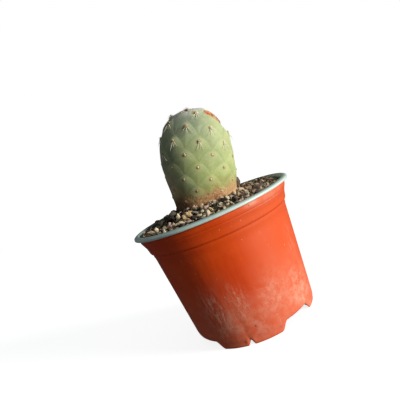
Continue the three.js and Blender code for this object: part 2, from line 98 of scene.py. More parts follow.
# Where the stem swells or, with a negative rise, is pressed in: direction, height, rise and width
SWELLINGS = [
    (-90, 34, 0.5, 8), (-92, 48.5, -0.6, 4), (-88, 54.5, 0.6, 4), (-50, 60, -0.6, 7), (88, 49, -0.8, 4.5),
    (78, 57, -0.9, 6), (65, 60.8, 0.8, 3.5),
]
# Areoles are numbered up one spiral: degrees from each to the next, the one in front and the skin for each
DIVERGENCE = -137.5
FRONT_AREOLE = {"index": 23, "direction": -4.4, "height": 25.3}
CELL_AREA = 131.5
CELL_AREA_GROWTH = 1.2
FRONT_CROWDING = 0.24
# Tubercles: where an areole sits in one, how its edges arch, and how far it stands out low down and high up
AREOLE_PLACE = 0.7
ARCH = 0.11
ARCH_ROUND = 0.34
TUBERCLE_RISE = 0.44
TUBERCLE_RISE_HIGH = 0.95
GROOVE_SHARE = 0.42
# The skin's net: steps across a tubercle, rings that close the crown, and the areole numbers it covers
SKIN_STEPS = 26
CROWN_RINGS = 8
LOWEST_NUMBER = -7
HIGHEST_NUMBER = 52.4
LAST_AREOLE = 51
# Two tufts of the crown off the lattice: direction and height
STRAY_AREOLES = {49: (24.4, 57.9), 51: (-5.3, 62)}
# Heights between which the tubercles stand out and have arched edges, and above which spines grow
RELIEF_STARTS, RELIEF_FULL, RELIEF_FADES, RELIEF_ENDS = 1, 9, 60.5, 63.2
ARCHES_FADE, ARCHES_END = 46, 55
SPINES_START = 35
SPINE_COUNTS = [3, 4, 5, 4]
SPINE_LENGTHS = (4.2, 7.8)
SPINE_ROOT = 0.8
SPINE_RADII = (0.13, 0.19)
SPINE_LIFT = 10
SPINE_SPREAD = 27
SPINE_SPREAD_CROWN = 58
SPINE_DROOP = 0.8
SPINE_SWAY = 0.5
SPINE_POINTS = 8
SPINE_SIDES = 6
# Areoles and their bristles: low on the stem, then what is added high up and at the crown
AREOLE_SIZE = {"low": 0.56, "high": 0.26}
CUSHION_RADIUS = 1.25
CUSHION_RISE = 0.75
BRISTLE_COUNT = {"low": 40, "high": 44, "crown": 70}
BRISTLE_LENGTH = {"low": 0.55, "high": 1.3}
BRISTLE_RADIUS = {"low": 0.05, "high": 0.015}
SCAR_DIRECTION = 66
SCAR_HEIGHT = 55.3
SCAR_SIZE = (4.9, 7.8)
SCAR_TURN = 22
SCAR_CLEARANCE = 6.5
SCAR_DOME = 1.1
SCAR_LIP = 0.35
SCAR_ROUGHNESS = 0.35
# How round the shoulder is under the scar, across it and up it
SCAR_BED_RADII = (26, 25)

# Soil: its level at the wall, the mound round the stem, highest on the left, and the dip on the right
SOIL_EDGE = -0.4
MOUND_RISE = 2.8
MOUND_TILT = 0.085
MOUND_START = 21
MOUND_WIDTH = {"left": 8, "right": 12}
DIP = {"x": 44, "y": -8, "depth": 1.8, "width": 16}
INNER_RADIUS = 48.9
STEM_RADIUS_AT_SOIL = 21.2
STONE_TONES = ["dark", "ash", "grey", "brown", "pink", "cream", "tan"]
# Stones at the front, listed from the picture: across, down, length, thickness in pixels; slant; tone
FRONT_STONES = [
    (221.3, 204.6, 6, 3.6, -35, "cream"), (227.6, 204.3, 4, 2, 35, "cream"),
    (217.6, 206.6, 4, 3, 80, "grey"), (223.2, 206.6, 3.2, 2.2, 10, "brown"),
    (227.6, 198.3, 5, 3.6, -50, "cream"), (230.6, 196.4, 3.4, 2.2, 20, "pink"),
    (223.2, 199.6, 6.4, 3.4, -5, "dark"), (234.8, 199, 7, 6, -40, "dark"),
    (231.8, 202.7, 4, 1.6, -20, "cream"), (233.6, 192.8, 4, 3.6, 60, "cream"),
    (238.2, 195.4, 4.8, 2.2, 85, "tan"), (241.6, 199.3, 3.2, 2.6, 30, "pink"),
    (240.3, 201.6, 3.4, 1.8, 25, "pink"), (241.5, 192.3, 3.4, 2.4, 10, "pink"),
    (245.8, 192.8, 4.4, 3.2, 30, "pink"), (249.3, 190.8, 2.6, 1.8, -40, "cream"),
    (247.3, 195.9, 4, 2.2, 15, "cream"), (242.6, 195.6, 3.8, 3.2, 20, "dark"),
    (253, 191.6, 3.6, 3, 60, "brown"), (257.2, 190.9, 5, 2.8, 25, "dark"),
    (260.4, 188.4, 3.6, 2.8, 20, "pink"), (255.4, 187, 6.6, 5.6, 30, "dark"),
    (256.6, 184.4, 4.4, 2.4, 15, "pink"), (261.9, 184.6, 4.4, 2.2, 10, "grey"),
    (267, 184, 3.4, 2.8, 70, "pink"), (262.2, 181.3, 3, 2.6, 80, "pink"),
    (247.6, 187.6, 7.4, 3, 10, "brown"), (241.4, 186, 4, 3.8, 80, "dark"), (274, 181.6, 3, 1.8, 20, "pink"),
    (269.5, 178.9, 4.4, 2.2, 20, "brown"), (265.4, 187.2, 3, 2, 20, "grey"),
    (251, 184.6, 4, 2.6, 60, "brown"), (178.3, 218.2, 8, 3.6, 100, "cream"),
    (189.5, 214, 7.4, 5.8, 15, "tan"), (184.6, 217.6, 5.4, 4, 100, "tan"),
    (181.6, 223.2, 6.4, 3.6, 5, "cream"), (189, 221.6, 5, 2.4, 20, "pink"),
    (156.4, 230.8, 5.6, 4.2, 95, "cream"), (169.2, 224.4, 4.4, 2.6, 60, "pink"),
    (173.6, 225.6, 4.8, 3.4, 100, "pink"), (165, 228.4, 3.2, 2.8, 80, "cream"),
    (193.4, 217.6, 6, 5, 10, "dark"), (198, 215.6, 4, 2.4, 15, "pink"),
    (196.2, 212.6, 8.6, 2.2, -12, "grey"), (204, 216, 3.4, 2.2, 20, "cream"),
    (203, 218, 4.6, 2.6, 25, "grey"), (205.4, 207.4, 5.2, 3.6, 30, "pink"),
    (207.2, 212.4, 4.6, 4, 80, "cream"), (211.6, 209.4, 7, 2.2, -35, "tan"),
    (184, 207.6, 3.2, 2.2, 30, "pink"), (187.8, 208.8, 2.8, 2, 20, "pink"), (193, 207.4, 5, 2, 55, "pink"),
    (148.6, 232.6, 2.6, 1.6, 20, "pink"), (199, 219.5, 4, 2.4, 30, "dark"),
    (161.5, 231, 3, 2.4, 90, "dark"), (213.5, 205, 4, 3, 20, "dark"),
]
# Stones at the sides and behind: x, y, half length, half thickness; lean in degrees; tone
BACK_STONES = [
    (-26, -11, 2.4, 1.7, 10, "dark"), (-24, -5, 2.1, 1.5, -5, "ash"), (-33, -8, 2.4, 1.6, 15, "ash"),
    (-29, 2, 2, 1.4, 5, "ash"), (-35, -16, 1.7, 1.3, 0, "dark"), (20, 35, 2, 1.5, 20, "cream"),
    (-6, 40, 2.2, 1.5, 10, "pink"), (-26, 29, 1.9, 1.3, 0, "grey"), (6, 37, 2.4, 1.8, -15, "dark"),
    (-38, 14, 1.8, 1.3, 10, "brown"),
]
DARK_STONE = {"x": 25.9, "y": 30, "z": 84.6, "radii": (2.4, 2.3, 4.3)}

# Camera: its place, its own right, up and back, and its lens for a picture as wide as the sensor
CAMERA = {"place": (0, -250.6, 109.8), "lens": 34.6, "sensor": 36}
CAMERA_AXES = ((0.9169, -0.0229, -0.3984), (0.3987, 0.0942, 0.9122), (0.0166, -0.9953, 0.0956))
# The picture is square, and the pot is turned by so many degrees in it.
PICTURE_PIXELS = 400
PICTURE_TURN = 23.5

# Soil bed: how far it lies below the stones' level, how high its lumps are and where the fill ends
BED_DEPTH = 2
BED_LUMPS = 0.9
FILL_BOTTOM = 6.3


# Arithmetic

def smooth(value, low, high):
    share = np.clip((np.asarray(value, float) - low) / (high - low), 0, 1)
    return share * share * (3 - 2 * share)


def bell(value, width):
    return np.exp(-((np.asarray(value, float) / width) ** 2))


def unit(vectors):
    return vectors / np.linalg.norm(vectors, axis=-1, keepdims=True)




class SpineRandom:
    """The same random sequence as the solids' source, so that spines stand in the same places."""

    def __init__(self, seed):
        self.state = seed

    def next(self):
        whole = 0xFFFFFFFF
        self.state = (self.state + 0x6D2B79F5) & whole
        t = (self.state ^ (self.state >> 15)) * (1 | self.state) & whole
        t = ((t + ((t ^ (t >> 7)) * (61 | t) & whole)) & whole) ^ t
        return ((t ^ (t >> 14)) & whole) / 4294967296

    def between(self, low, high):
        return low + (high - low) * self.next()


# Meshes

def joined_rings(first, rings, sides, flipped=False):
    """Quads that join rings of points, each ring following the last, from the point numbered first."""
    quads = []
    for start in range(first, first + (rings - 1) * sides, sides):
        for side in range(sides):
            a, b = start + side, start + (side + 1) % sides
            quads.append((a, a + sides, b + sides, b) if flipped else (a, b, b + sides, a + sides))
    return quads


def fan(centre, first, sides, flipped=False):
    """Triangles from a centre point to the ring of points that starts at first."""
    triangles = [(centre, first + side, first + (side + 1) % sides) for side in range(sides)]
    return [triangle[::-1] for triangle in triangles] if flipped else triangles


def add_piece(name, points, faces, materials, replaces=None, sharp=None, values=None, material_of=None):
    mesh = bpy.data.meshes.new(name)
    mesh.from_pydata((np.asarray(points) * METRE).tolist(), [], faces)
    for material in materials:
        mesh.materials.append(material)
    for key, numbers in (values or {}).items():
        mesh.attributes.new(key, "FLOAT", "POINT").data.foreach_set("value", np.asarray(numbers, np.float32))
    if material_of is not None:
        mesh.polygons.foreach_set("material_index", np.asarray(material_of, np.int32))
    if sharp is None:
        mesh.shade_smooth()
    elif sharp > 0:
        mesh.shade_smooth()
        mesh.set_sharp_from_angle(angle=math.radians(sharp))
    mesh.update()
    piece = bpy.data.objects.new(name, mesh)
    bpy.context.scene.collection.objects.link(piece)
    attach(piece, "root")
    if replaces:
        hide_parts(replaces)
    return piece


# Shader nodes

class Shader:
    """Adds nodes to a tree and joins them. A value given for an input is a number, a colour or a socket."""

    def __init__(self, tree, material=None, surface=None):
        self.tree = tree
        self.material = material
        self.surface = surface

    def fill(self, socket, value):
        if isinstance(value, bpy.types.NodeSocket):
            self.tree.links.new(value, socket)
        else:
            socket.default_value = value

    def add(self, kind, inputs=(), **settings):
        added = self.tree.nodes.new(kind)
        for key, value in settings.items():
            setattr(added, key, value)
        for key, value in dict(inputs).items():
            self.fill(added.inputs[key], value)
        return added

    def math(self, operation, first, second=0.0, clamp=False):
        added = self.add("ShaderNodeMath", operation=operation, use_clamp=clamp)
        self.fill(added.inputs[0], first)
        self.fill(added.inputs[1], second)
        return added.outputs[0]

    def times(self, *values):
        result = values[0]
        for value in values[1:]:
            result = self.math("MULTIPLY", result, value)
        return result

    def plus(self, *values):
        result = values[0]
        for value in values[1:]:
            result = self.math("ADD", result, value)
        return result

    def either(self, first, second):
        return self.math("MAXIMUM", first, second, clamp=True)

    def step(self, value, low, high, start=0.0, end=1.0):
        limits = {"From Min": low, "From Max": high, "To Min": start, "To Max": end}
        added = self.add("ShaderNodeMapRange", limits, interpolation_type="SMOOTHSTEP")
        self.fill(added.inputs["Value"], value)
        return added.outputs["Result"]

    def mix(self, factor, first, second):
        added = self.add("ShaderNodeMix", data_type="RGBA")
        self.fill(added.inputs["Factor"], factor)
        self.fill(added.inputs[6], first)
        self.fill(added.inputs[7], second)
        return added.outputs[2]

    def paint(self, under, *layers):
        """A colour with layers laid over it, each a mask and a colour in 0 to 255 or from a socket."""
        for mask, over in layers:
            under = self.mix(mask, under, over if isinstance(over, bpy.types.NodeSocket) else colour(*over))
        return under

    def place(self, stretch=(1, 1, 1), shift=(0, 0, 0)):
        """Object coordinates in millimetres, stretched."""
        coordinates = self.add("ShaderNodeTexCoord").outputs["Object"]
        scale = tuple(share / METRE for share in stretch)
        inputs = {"Vector": coordinates, "Scale": scale, "Location": shift}
        return self.add("ShaderNodeMapping", inputs).outputs["Vector"]

    def parts(self, place):
        """The x, y and z of a place."""
        return self.add("ShaderNodeSeparateXYZ", {"Vector": place}).outputs

    def noise(self, place, size, detail=3.0, roughness=0.55, distortion=0.0):
        """Noise whose features are about size millimetres."""
        inputs = {"Vector": place, "Scale": 1 / size, "Detail": detail, "Roughness": roughness,
                  "Distortion": distortion}
        return self.add("ShaderNodeTexNoise", inputs).outputs["Fac"]

    def attribute(self, name):
        return self.add("ShaderNodeAttribute", attribute_name=name).outputs["Fac"]

    def blob(self, place, centre, radii):
        """1 at a centre in millimetres, falling to 0 at the radii."""
        moved = self.add("ShaderNodeVectorMath", {0: place, 1: centre}, operation="SUBTRACT").outputs[0]
        scaled = self.add("ShaderNodeVectorMath", {0: moved, 1: radii}, operation="DIVIDE").outputs[0]
        length = self.add("ShaderNodeVectorMath", {0: scaled}, operation="LENGTH").outputs["Value"]
        return self.step(length, 1.0, 0.0)

    def blobs(self, place, *spots):
        """Blobs added together, each with its centre, its radii and its weight."""
        weighed = [self.times(self.blob(place, centre, radii), weight) for centre, radii, weight in spots]
        return self.plus(*weighed)

    def bumps(self, *layers):
        """A normal from bumps laid one over another, each a height and its depth in millimetres."""
        normal = None
        for height, depth in layers:
            inputs = {"Height": height, "Distance": depth * METRE, "Strength": 1.0}
            if normal is not None:
                inputs["Normal"] = normal
            normal = self.add("ShaderNodeBump", inputs).outputs["Normal"]
        return normal

    def finish(self, tone, roughness, normal=None):
        """Joins a colour, a roughness and a normal to the surface, and returns the material."""
        for key, value in (("Base Color", tone), ("Roughness", roughness), ("Normal", normal)):
            if value is not None:
                self.fill(self.surface.inputs[key], value)
        return self.material


def new_material(name, **constants):
    """The Shader of a new material, with its Principled node as the surface."""
    material = bpy.data.materials.new(name)
    material.use_nodes = True
    surface = material.node_tree.nodes["Principled BSDF"]
    for key, value in constants.items():
        surface.inputs[key.replace("_", " ")].default_value = value
    return Shader(material.node_tree, material, surface)


def colour(red, green, blue):
    """A colour given in the usual 0 to 255, as linear light."""
    def linear(channel):
        share = channel / 255
        return share / 12.92 if share <= 0.04045 else ((share + 0.055) / 1.055) ** 2.4
    return (linear(red), linear(green), linear(blue), 1.0)


def new_group(name, inputs, outputs):
    group = bpy.data.node_groups.new(name, "ShaderNodeTree")
    for label, kind in inputs.items():
        group.interface.new_socket(name=label, in_out="INPUT", socket_type=kind)
    for label, kind in outputs.items():
        group.interface.new_socket(name=label, in_out="OUTPUT", socket_type=kind)
    shader = Shader(group)
    return group, shader, shader.add("NodeGroupInput").outputs, shader.add("NodeGroupOutput").inputs


def use_group(shader, group, inputs):
    added = shader.add("ShaderNodeGroup", node_tree=group)
    for key, value in inputs.items():
        shader.fill(added.inputs[key], value)
    return added.outputs


def make_specks_group():
    """Scattered round dots: Spacing is how far apart they are, Share how much of that the widest fill."""
    group, shader, given, result = new_group(
        "Specks",
        {"Place": "NodeSocketVector", "Spacing": "NodeSocketFloat", "Share": "NodeSocketFloat"},
        {"Mask": "NodeSocketFloat"},
    )
    scale = shader.math("DIVIDE", 1.0, given["Spacing"])
    cell = shader.add("ShaderNodeTexVoronoi", {"Vector": given["Place"], "Scale": scale})
    luck = shader.add("ShaderNodeSeparateColor", {"Color": cell.outputs["Color"]}).outputs[0]
    radius = shader.times(given["Share"], shader.math("POWER", luck, 3.0))
    shader.fill(result["Mask"], shader.step(cell.outputs["Distance"], radius, shader.times(radius, 0.6)))
    return group


def make_mottle_group():
    """Two colours mixed in soft patches about Size millimetres across."""
    group, shader, given, result = new_group(
        "Mottle",
        {"Place": "NodeSocketVector", "Size": "NodeSocketFloat", "First": "NodeSocketColor",
         "Second": "NodeSocketColor"},
        {"Color": "NodeSocketColor"},
    )
    scale = shader.math("DIVIDE", 1.0, given["Size"])
    inputs = {"Vector": given["Place"], "Scale": scale, "Detail": 4.0, "Roughness": 0.6}
    patches = shader.add("ShaderNodeTexNoise", inputs).outputs["Fac"]
    mask = shader.step(patches, 0.35, 0.65)
    shader.fill(result["Color"], shader.mix(mask, given["First"], given["Second"]))
    return group


SPECKS = make_specks_group()
MOTTLE = make_mottle_group()


def specks(shader, place, spacing, share):
    return use_group(shader, SPECKS, {"Place": place, "Spacing": spacing, "Share": share})["Mask"]


def mottle(shader, place, size, first, second):
    """Two colours in 0 to 255, mixed in soft patches."""
    inputs = {"Place": place, "Size": size, "First": colour(*first), "Second": colour(*second)}
    return use_group(shader, MOTTLE, inputs)["Color"]


# Pot

def wall_radius(z):
    return np.interp(z, (WALL_LOW["z"], WALL_HIGH["z"]), (WALL_LOW["radius"], WALL_HIGH["radius"]))


def turn_between(first, second):
    """Degrees between two directions."""
    return np.abs((np.asarray(first) - second + 180) % 360 - 180)


def foot_share(radius, direction):
    """1 where a foot stands, 0 in the wide notches and part way in the slits. Feet are narrower inside."""
    taper = FOOT_TAPER * np.maximum(EDGE_RADIUS - radius, 0)
    share = 0 * direction
    for start, end, slit in FOOT_PAIRS:
        half_angle = (end - start) / 2 - taper
        from_middle = turn_between(direction, (start + end) / 2)
        stands = 1 - smooth(from_middle, half_angle - FOOT_SIDE, half_angle + FOOT_SIDE)
        in_slit = 1 - smooth(turn_between(direction, slit), 0.4, SLIT_HALF_ANGLE)
        share = share + stands * (1 - in_slit * SLIT_HEIGHT / FLOOR_Z)
    return share


def base_height(radius, direction):
    """Height of the pot's underside."""
    ring = smooth(radius, FOOT_INNER_RADIUS - 0.7, FOOT_INNER_RADIUS + 0.6)
    return FLOOR_Z * (1 - foot_share(radius, direction) * ring)


def pot_dent(direction, z):
    """How far the outside stands in from its plain form: a ledge on the feet and a crease above one slit."""
    on_foot = 0 * direction
    for start, end, slit in FOOT_PAIRS:
        half_angle = (end - start) / 2
        from_middle = turn_between(direction, (start + end) / 2)
        inside = 1 - smooth(from_middle, half_angle - 6, half_angle - 2)
        on_foot = on_foot + inside * smooth(turn_between(direction, slit), 3.5, 5.5)
    ledge = LEDGE_DEPTH * (1 - smooth(z, 4.2, 5.0)) * smooth(z, 1.6, 2.2) * on_foot
    crease_at = CREASE["direction"] - CREASE["slant"] * np.maximum(z - CREASE["slants_from"], 0)
    crease = CREASE["depth"] * bell(direction - crease_at, CREASE["width"])
    return ledge + crease * smooth(z, 2, 5) * (1 - smooth(z, 20, 38))


def pot_rings(directions):
    """Radii, heights and material of the pot's rings: from below, up the outside and down to the floor."""
    orange, pale = 0, 1
    edge = base_height(EDGE_RADIUS, directions)
    rings = [(radius, base_height(radius, directions), orange) for radius in UNDER_RADII]
    wall = [(edge + lift, inset) for lift, inset in HEEL]
    heel_top = wall[-1][0]
    wall += [(heel_top + (WALL_BLEND_Z - heel_top) * share, 0) for share in WALL_BLEND_SHARES]
    wall += [(z, 0) for z in WALL_HEIGHTS]
    rings += [(wall_radius(z) - inset - pot_dent(directions, z), z, orange) for z, inset in wall]
    rings += [(radius, POT_HEIGHT - depth, orange) for radius, depth in BAND_OUTSIDE]
    rings += [(radius, POT_HEIGHT - depth, pale) for radius, depth in LIP + LINING]
    rings += [(wall_radius(z) - WALL, z, pale) for z in INSIDE_HEIGHTS]
    # The inside's lowest ring steps down into the hollow feet.
    inner_edge = np.maximum(edge + WALL + 0.6, 6.5 - 4 * (edge < 4))
    rings.append((wall_radius(7) - WALL - 0.1, inner_edge, pale))
    rings += [(min(radius, 38.1), base_height(radius + 0.2, directions) + WALL, pale)
              for radius in reversed(UNDER_RADII)]
    return rings


def columns_in_drains(directions):
    """Which steps round the pot cross a drain slot, in the middle of each notch between pairs of feet."""
    in_drain = np.zeros(POT_COLUMNS, bool)
    for pair, (_, end, _) in enumerate(FOOT_PAIRS):
        to_next = (FOOT_PAIRS[(pair + 1) % len(FOOT_PAIRS)][0] - end) % 360
        in_drain |= turn_between(directions + 180 / POT_COLUMNS, end + to_next / 2) < DRAIN["half_angle"]
    return in_drain


def drain_sides(in_drain, open_rings, top):
    """Faces round the drain slots, from the underside to the floor above it, whose middle is the ring top."""
    def corner(ring, column):
        return ring * POT_COLUMNS + column % POT_COLUMNS

    faces = []
    for column in range(POT_COLUMNS):
        if in_drain[column]:
            for ring, turn in ((open_rings[0], 1), (open_rings[-1] + 1, -1)):
                quad = (corner(ring, column), corner(ring, column + 1),
                        corner(top - ring, column + 1), corner(top - ring, column))
                faces.append(quad[::turn])
        if in_drain[column] != in_drain[column - 1]:
            for ring in open_rings:
                quad = (corner(ring, column), corner(ring + 1, column),
                        corner(top - ring - 1, column), corner(top - ring, column))
                faces.append(quad[::1 if in_drain[column] else -1])
    return faces


def make_pot(materials):
    directions = np.arange(POT_COLUMNS) * 360 / POT_COLUMNS - 180
    angles = np.radians(directions)
    rings = pot_rings(directions)
    top = len(rings) - 1
    points = [np.stack([radius * np.sin(angles), -radius * np.cos(angles), z + 0 * angles], 1)
              for radius, z, _ in rings]
    in_drain = columns_in_drains(directions)
    open_rings = [ring for ring, (inner, outer) in enumerate(zip(UNDER_RADII, UNDER_RADII[1:]))
                  if inner >= DRAIN["inner"] and outer <= DRAIN["outer"]]
    faces, owners = [], []
    for ring in range(top):
        is_open = ring in open_rings or top - ring - 1 in open_rings
        quads = joined_rings(ring * POT_COLUMNS, 2, POT_COLUMNS)
        quads = [quad for quad, gone in zip(quads, in_drain) if not (is_open and gone)]
        faces += quads
        owners += [rings[ring + 1][2]] * len(quads)
    sides = drain_sides(in_drain, open_rings, top)
    # Fans close the underside and the floor at the centre.
    count = len(rings) * POT_COLUMNS
    points += [[(0, 0, FLOOR_Z), (0, 0, FLOOR_Z + WALL)]]
    faces += sides + fan(count, 0, POT_COLUMNS, flipped=True) + fan(count + 1, top * POT_COLUMNS, POT_COLUMNS)
    owners += [0] * (len(sides) + POT_COLUMNS) + [1] * POT_COLUMNS
    return add_piece("pot_shell", np.concatenate(points), faces, materials, "pot", sharp=50,
                     material_of=owners)


# Stem

def stem_spline(divisions):
    points = np.array(STEM_PROFILE, float)
    last = len(points) - 1
    found = []
    for at in np.linspace(0, last, divisions + 1):
        start = min(int(at), last - 1) if at < last else last
        weight = at - start
        p0, p1 = points[max(start - 1, 0)], points[start]
        p2, p3 = points[min(start + 1, last)], points[min(start + 2, last)]
        v0, v1 = (p2 - p0) / 2, (p3 - p1) / 2
        cubic = (2 * p1 - 2 * p2 + v0 + v1) * weight ** 3 + (3 * p2 - 3 * p1 - 2 * v0 - v1) * weight ** 2
        found.append(cubic + v0 * weight + p1)
    return np.array(found)


def make_stem_table():
    points = stem_spline(len(STEM_PROFILE) * 24)
    radius, height = np.maximum(points[:, 0], 0), points[:, 1]
    length = np.hypot(*np.diff(points, axis=0).T)
    girth = math.pi * (1 + STEM_DEPTH_RATIO)
    skin = girth * 0.5 * (points[1:, 0] + points[:-1, 0]) * length
    number = np.concatenate([[0], np.cumsum(skin / (CELL_AREA + CELL_AREA_GROWTH * height[1:]))])
    at_front = number[height <= FRONT_AREOLE["height"]][-1]
    return {"height": height, "radius": radius, "number": number + FRONT_AREOLE["index"] - at_front}


STEM = make_stem_table()
CROWN_NUMBER = STEM["number"][-1]


def stem_where(column, value, wanted):
    return np.interp(value, STEM[column], STEM[wanted])


def stem_slope(number):
    """How far the skin's normal points up, in radians."""
    rise = stem_where("number", number + 0.4, "height") - stem_where("number", number - 0.4, "height")
    run = stem_where("number", number - 0.4, "radius") - stem_where("number", number + 0.4, "radius")
    return np.arctan2(run, rise)


def crowded(turn):
    """The direction on the stem, in radians, of a direction on the even lattice in degrees."""
    angle = np.radians(turn)
    return angle - FRONT_CROWDING * np.sin(angle)


def stem_point(turn, number, rise=0.0):
    direction = crowded(turn)
    slope = stem_slope(number)
    out = stem_where("number", number, "radius") + rise * np.cos(slope)
    height = stem_where("number", number, "height") + rise * np.sin(slope)
    return np.stack([out * np.sin(direction), -out * STEM_DEPTH_RATIO * np.cos(direction), height], -1)


def stand_up(points):
    """From the stem's own frame to the pot's."""
    lean = math.radians(STEM_LEAN)
    x, y, z = np.moveaxis(np.asarray(points, float), -1, 0)
    turned = [x * math.cos(lean) + z * math.sin(lean), y, z * math.cos(lean) - x * math.sin(lean)]
    return np.stack(turned, -1) + np.array(STEM_BASE, float)


RIGHT = {"steps": 5, "turn": 5 * DIVERGENCE + 720}
LEFT = {"steps": 8, "turn": 8 * DIVERGENCE + 1080}


def bow(share):
    return ARCH * np.abs(np.sin(math.pi * np.asarray(share, float)))


AREOLE_OFFSET = AREOLE_PLACE + float(bow(AREOLE_PLACE))


def areole_turn(index):
    return FRONT_AREOLE["direction"] + (index - FRONT_AREOLE["index"]) * DIVERGENCE


def lattice_place(right, left):
    across = right + bow(left) - AREOLE_OFFSET
    along = left + bow(right) - AREOLE_OFFSET
    turn = areole_turn(0) + across * RIGHT["turn"] + along * LEFT["turn"]
    return turn, across * RIGHT["steps"] + along * LEFT["steps"]


def rise_at(height):
    rise = TUBERCLE_RISE + (TUBERCLE_RISE_HIGH - TUBERCLE_RISE) * smooth(height, 38, 50)
    return rise * smooth(height, RELIEF_STARTS, RELIEF_FULL) * (1 - smooth(height, RELIEF_FADES, RELIEF_ENDS))


def arch_distance(right, left):
    """Distance inside the arch over one tubercle, negative beyond it, as a share of the tubercle's width."""
    first, second = 1 - right, 1 - left
    corner = np.maximum(ARCH_ROUND - np.abs(first - second), 0) ** 2 / (4 * ARCH_ROUND)
    return np.minimum(first, second) - corner


def tubercle_edges(right, left):
    """Distances to the nearest arch of any tubercle and to the tubercle's own."""
    right, left = right % 1, left % 1
    own = arch_distance(right, left)
    below = [np.abs(arch_distance(right + i, left + j)) for i, j in ((0, 1), (1, 0), (1, 1))]
    return np.minimum(np.abs(own), np.min(below, axis=0)), own


def areole_distance(right, left, turn, number):
    """Distance to the tubercle's own areole along the skin, in millimetres."""
    radius = stem_where("number", number, "radius")
    stretch = np.radians(1) * radius * (1 - FRONT_CROWDING * np.cos(np.radians(turn)))
    climb = (stem_where("number", number + 0.5, "height") - stem_where("number", number - 0.5, "height"))
    climb = np.hypot(climb, climb * np.tan(np.clip(stem_slope(number), 0, 1.2)))
    across = right % 1 + bow(left) - AREOLE_OFFSET
    along = left % 1 + bow(right) - AREOLE_OFFSET
    x = (across * RIGHT["turn"] + along * LEFT["turn"]) * stretch
    y = (across * RIGHT["steps"] + along * LEFT["steps"]) * climb
    return np.hypot(x, y)


def skin_relief(edge, arch, height, from_areole):
    near = np.minimum(edge / GROOVE_SHARE, 1)
    pillow = 0.35 * (1 - (1 - near) ** 2) + 0.65 * smooth(near, 0, 1)
    lines = 0.06 * bell(arch - 0.085, 0.03) + 0.04 * bell(arch - 0.18, 0.03) - 0.02 * bell(edge, 0.02)
    mound = 0.4 * bell(from_areole, 4) + 0.2 * bell(from_areole, 1.7)
    arches = 1 - smooth(height, ARCHES_FADE, ARCHES_END)
    return rise_at(height) * (arches * (0.55 * pillow + lines) + (1 - arches) * 0.4 + mound)


def outward(points):
    """Directions out of the stem, at points in its own frame."""
    middles = np.array(points, float)
    middles[:, :2] = 0
    middles[:, 2] = np.clip(middles[:, 2], 0, 42)
    return unit(points - middles)


def stem_spot(direction, height):
    """A point of the plain stem, by its direction in radians and its height."""
    radius = float(stem_where("height", height, "radius"))
    return np.array([radius * math.sin(direction), -radius * STEM_DEPTH_RATIO * math.cos(direction), height])


def swelling(points):
    """How far the stem stands out from its plain form at points in its own frame."""
    total = np.zeros(len(points))
    for direction, height, rise, width in SWELLINGS:
        centre = stem_spot(math.radians(direction), height)
        total += rise * bell(np.linalg.norm(points - centre, axis=1), width)
    return total


def skin_net():
    """Small quads along the spirals once round the stem, and their corners as steps up the two spirals."""
    steps = SKIN_STEPS
    round_right, round_left = LEFT["steps"] * steps, -RIGHT["steps"] * steps
    index_of = {}
    quads = []

    def turn_at(i, j):
        return (i * RIGHT["turn"] + j * LEFT["turn"]) / steps

    def corner(i, j):
        rounds = math.floor(turn_at(i, j) / 360 + 1e-6)
        return index_of.setdefault((i - rounds * round_right, j - rounds * round_left), len(index_of))

    def plain_number(i, j):
        return RIGHT["steps"] * (i / steps - AREOLE_OFFSET) + LEFT["steps"] * (j / steps - AREOLE_OFFSET)

    reach = steps * 40
    for i in range(-reach, reach + 1):
        # Only the few j that keep the quad within one turn of the stem
        ends = sorted((360 * steps * share - i * RIGHT["turn"]) / LEFT["turn"] for share in (0, 1))
        for j in range(math.floor(ends[0]) - 1, math.ceil(ends[1]) + 2):
            in_turn = -1e-6 <= turn_at(i, j) < 360 - 1e-6
            above_foot = plain_number(i, j) >= LOWEST_NUMBER
            if in_turn and above_foot and plain_number(i + 1, j + 1) <= HIGHEST_NUMBER:
                quads.append((corner(i, j), corner(i + 1, j), corner(i + 1, j + 1), corner(i, j + 1)))
    return quads, np.array(list(index_of), float) / steps


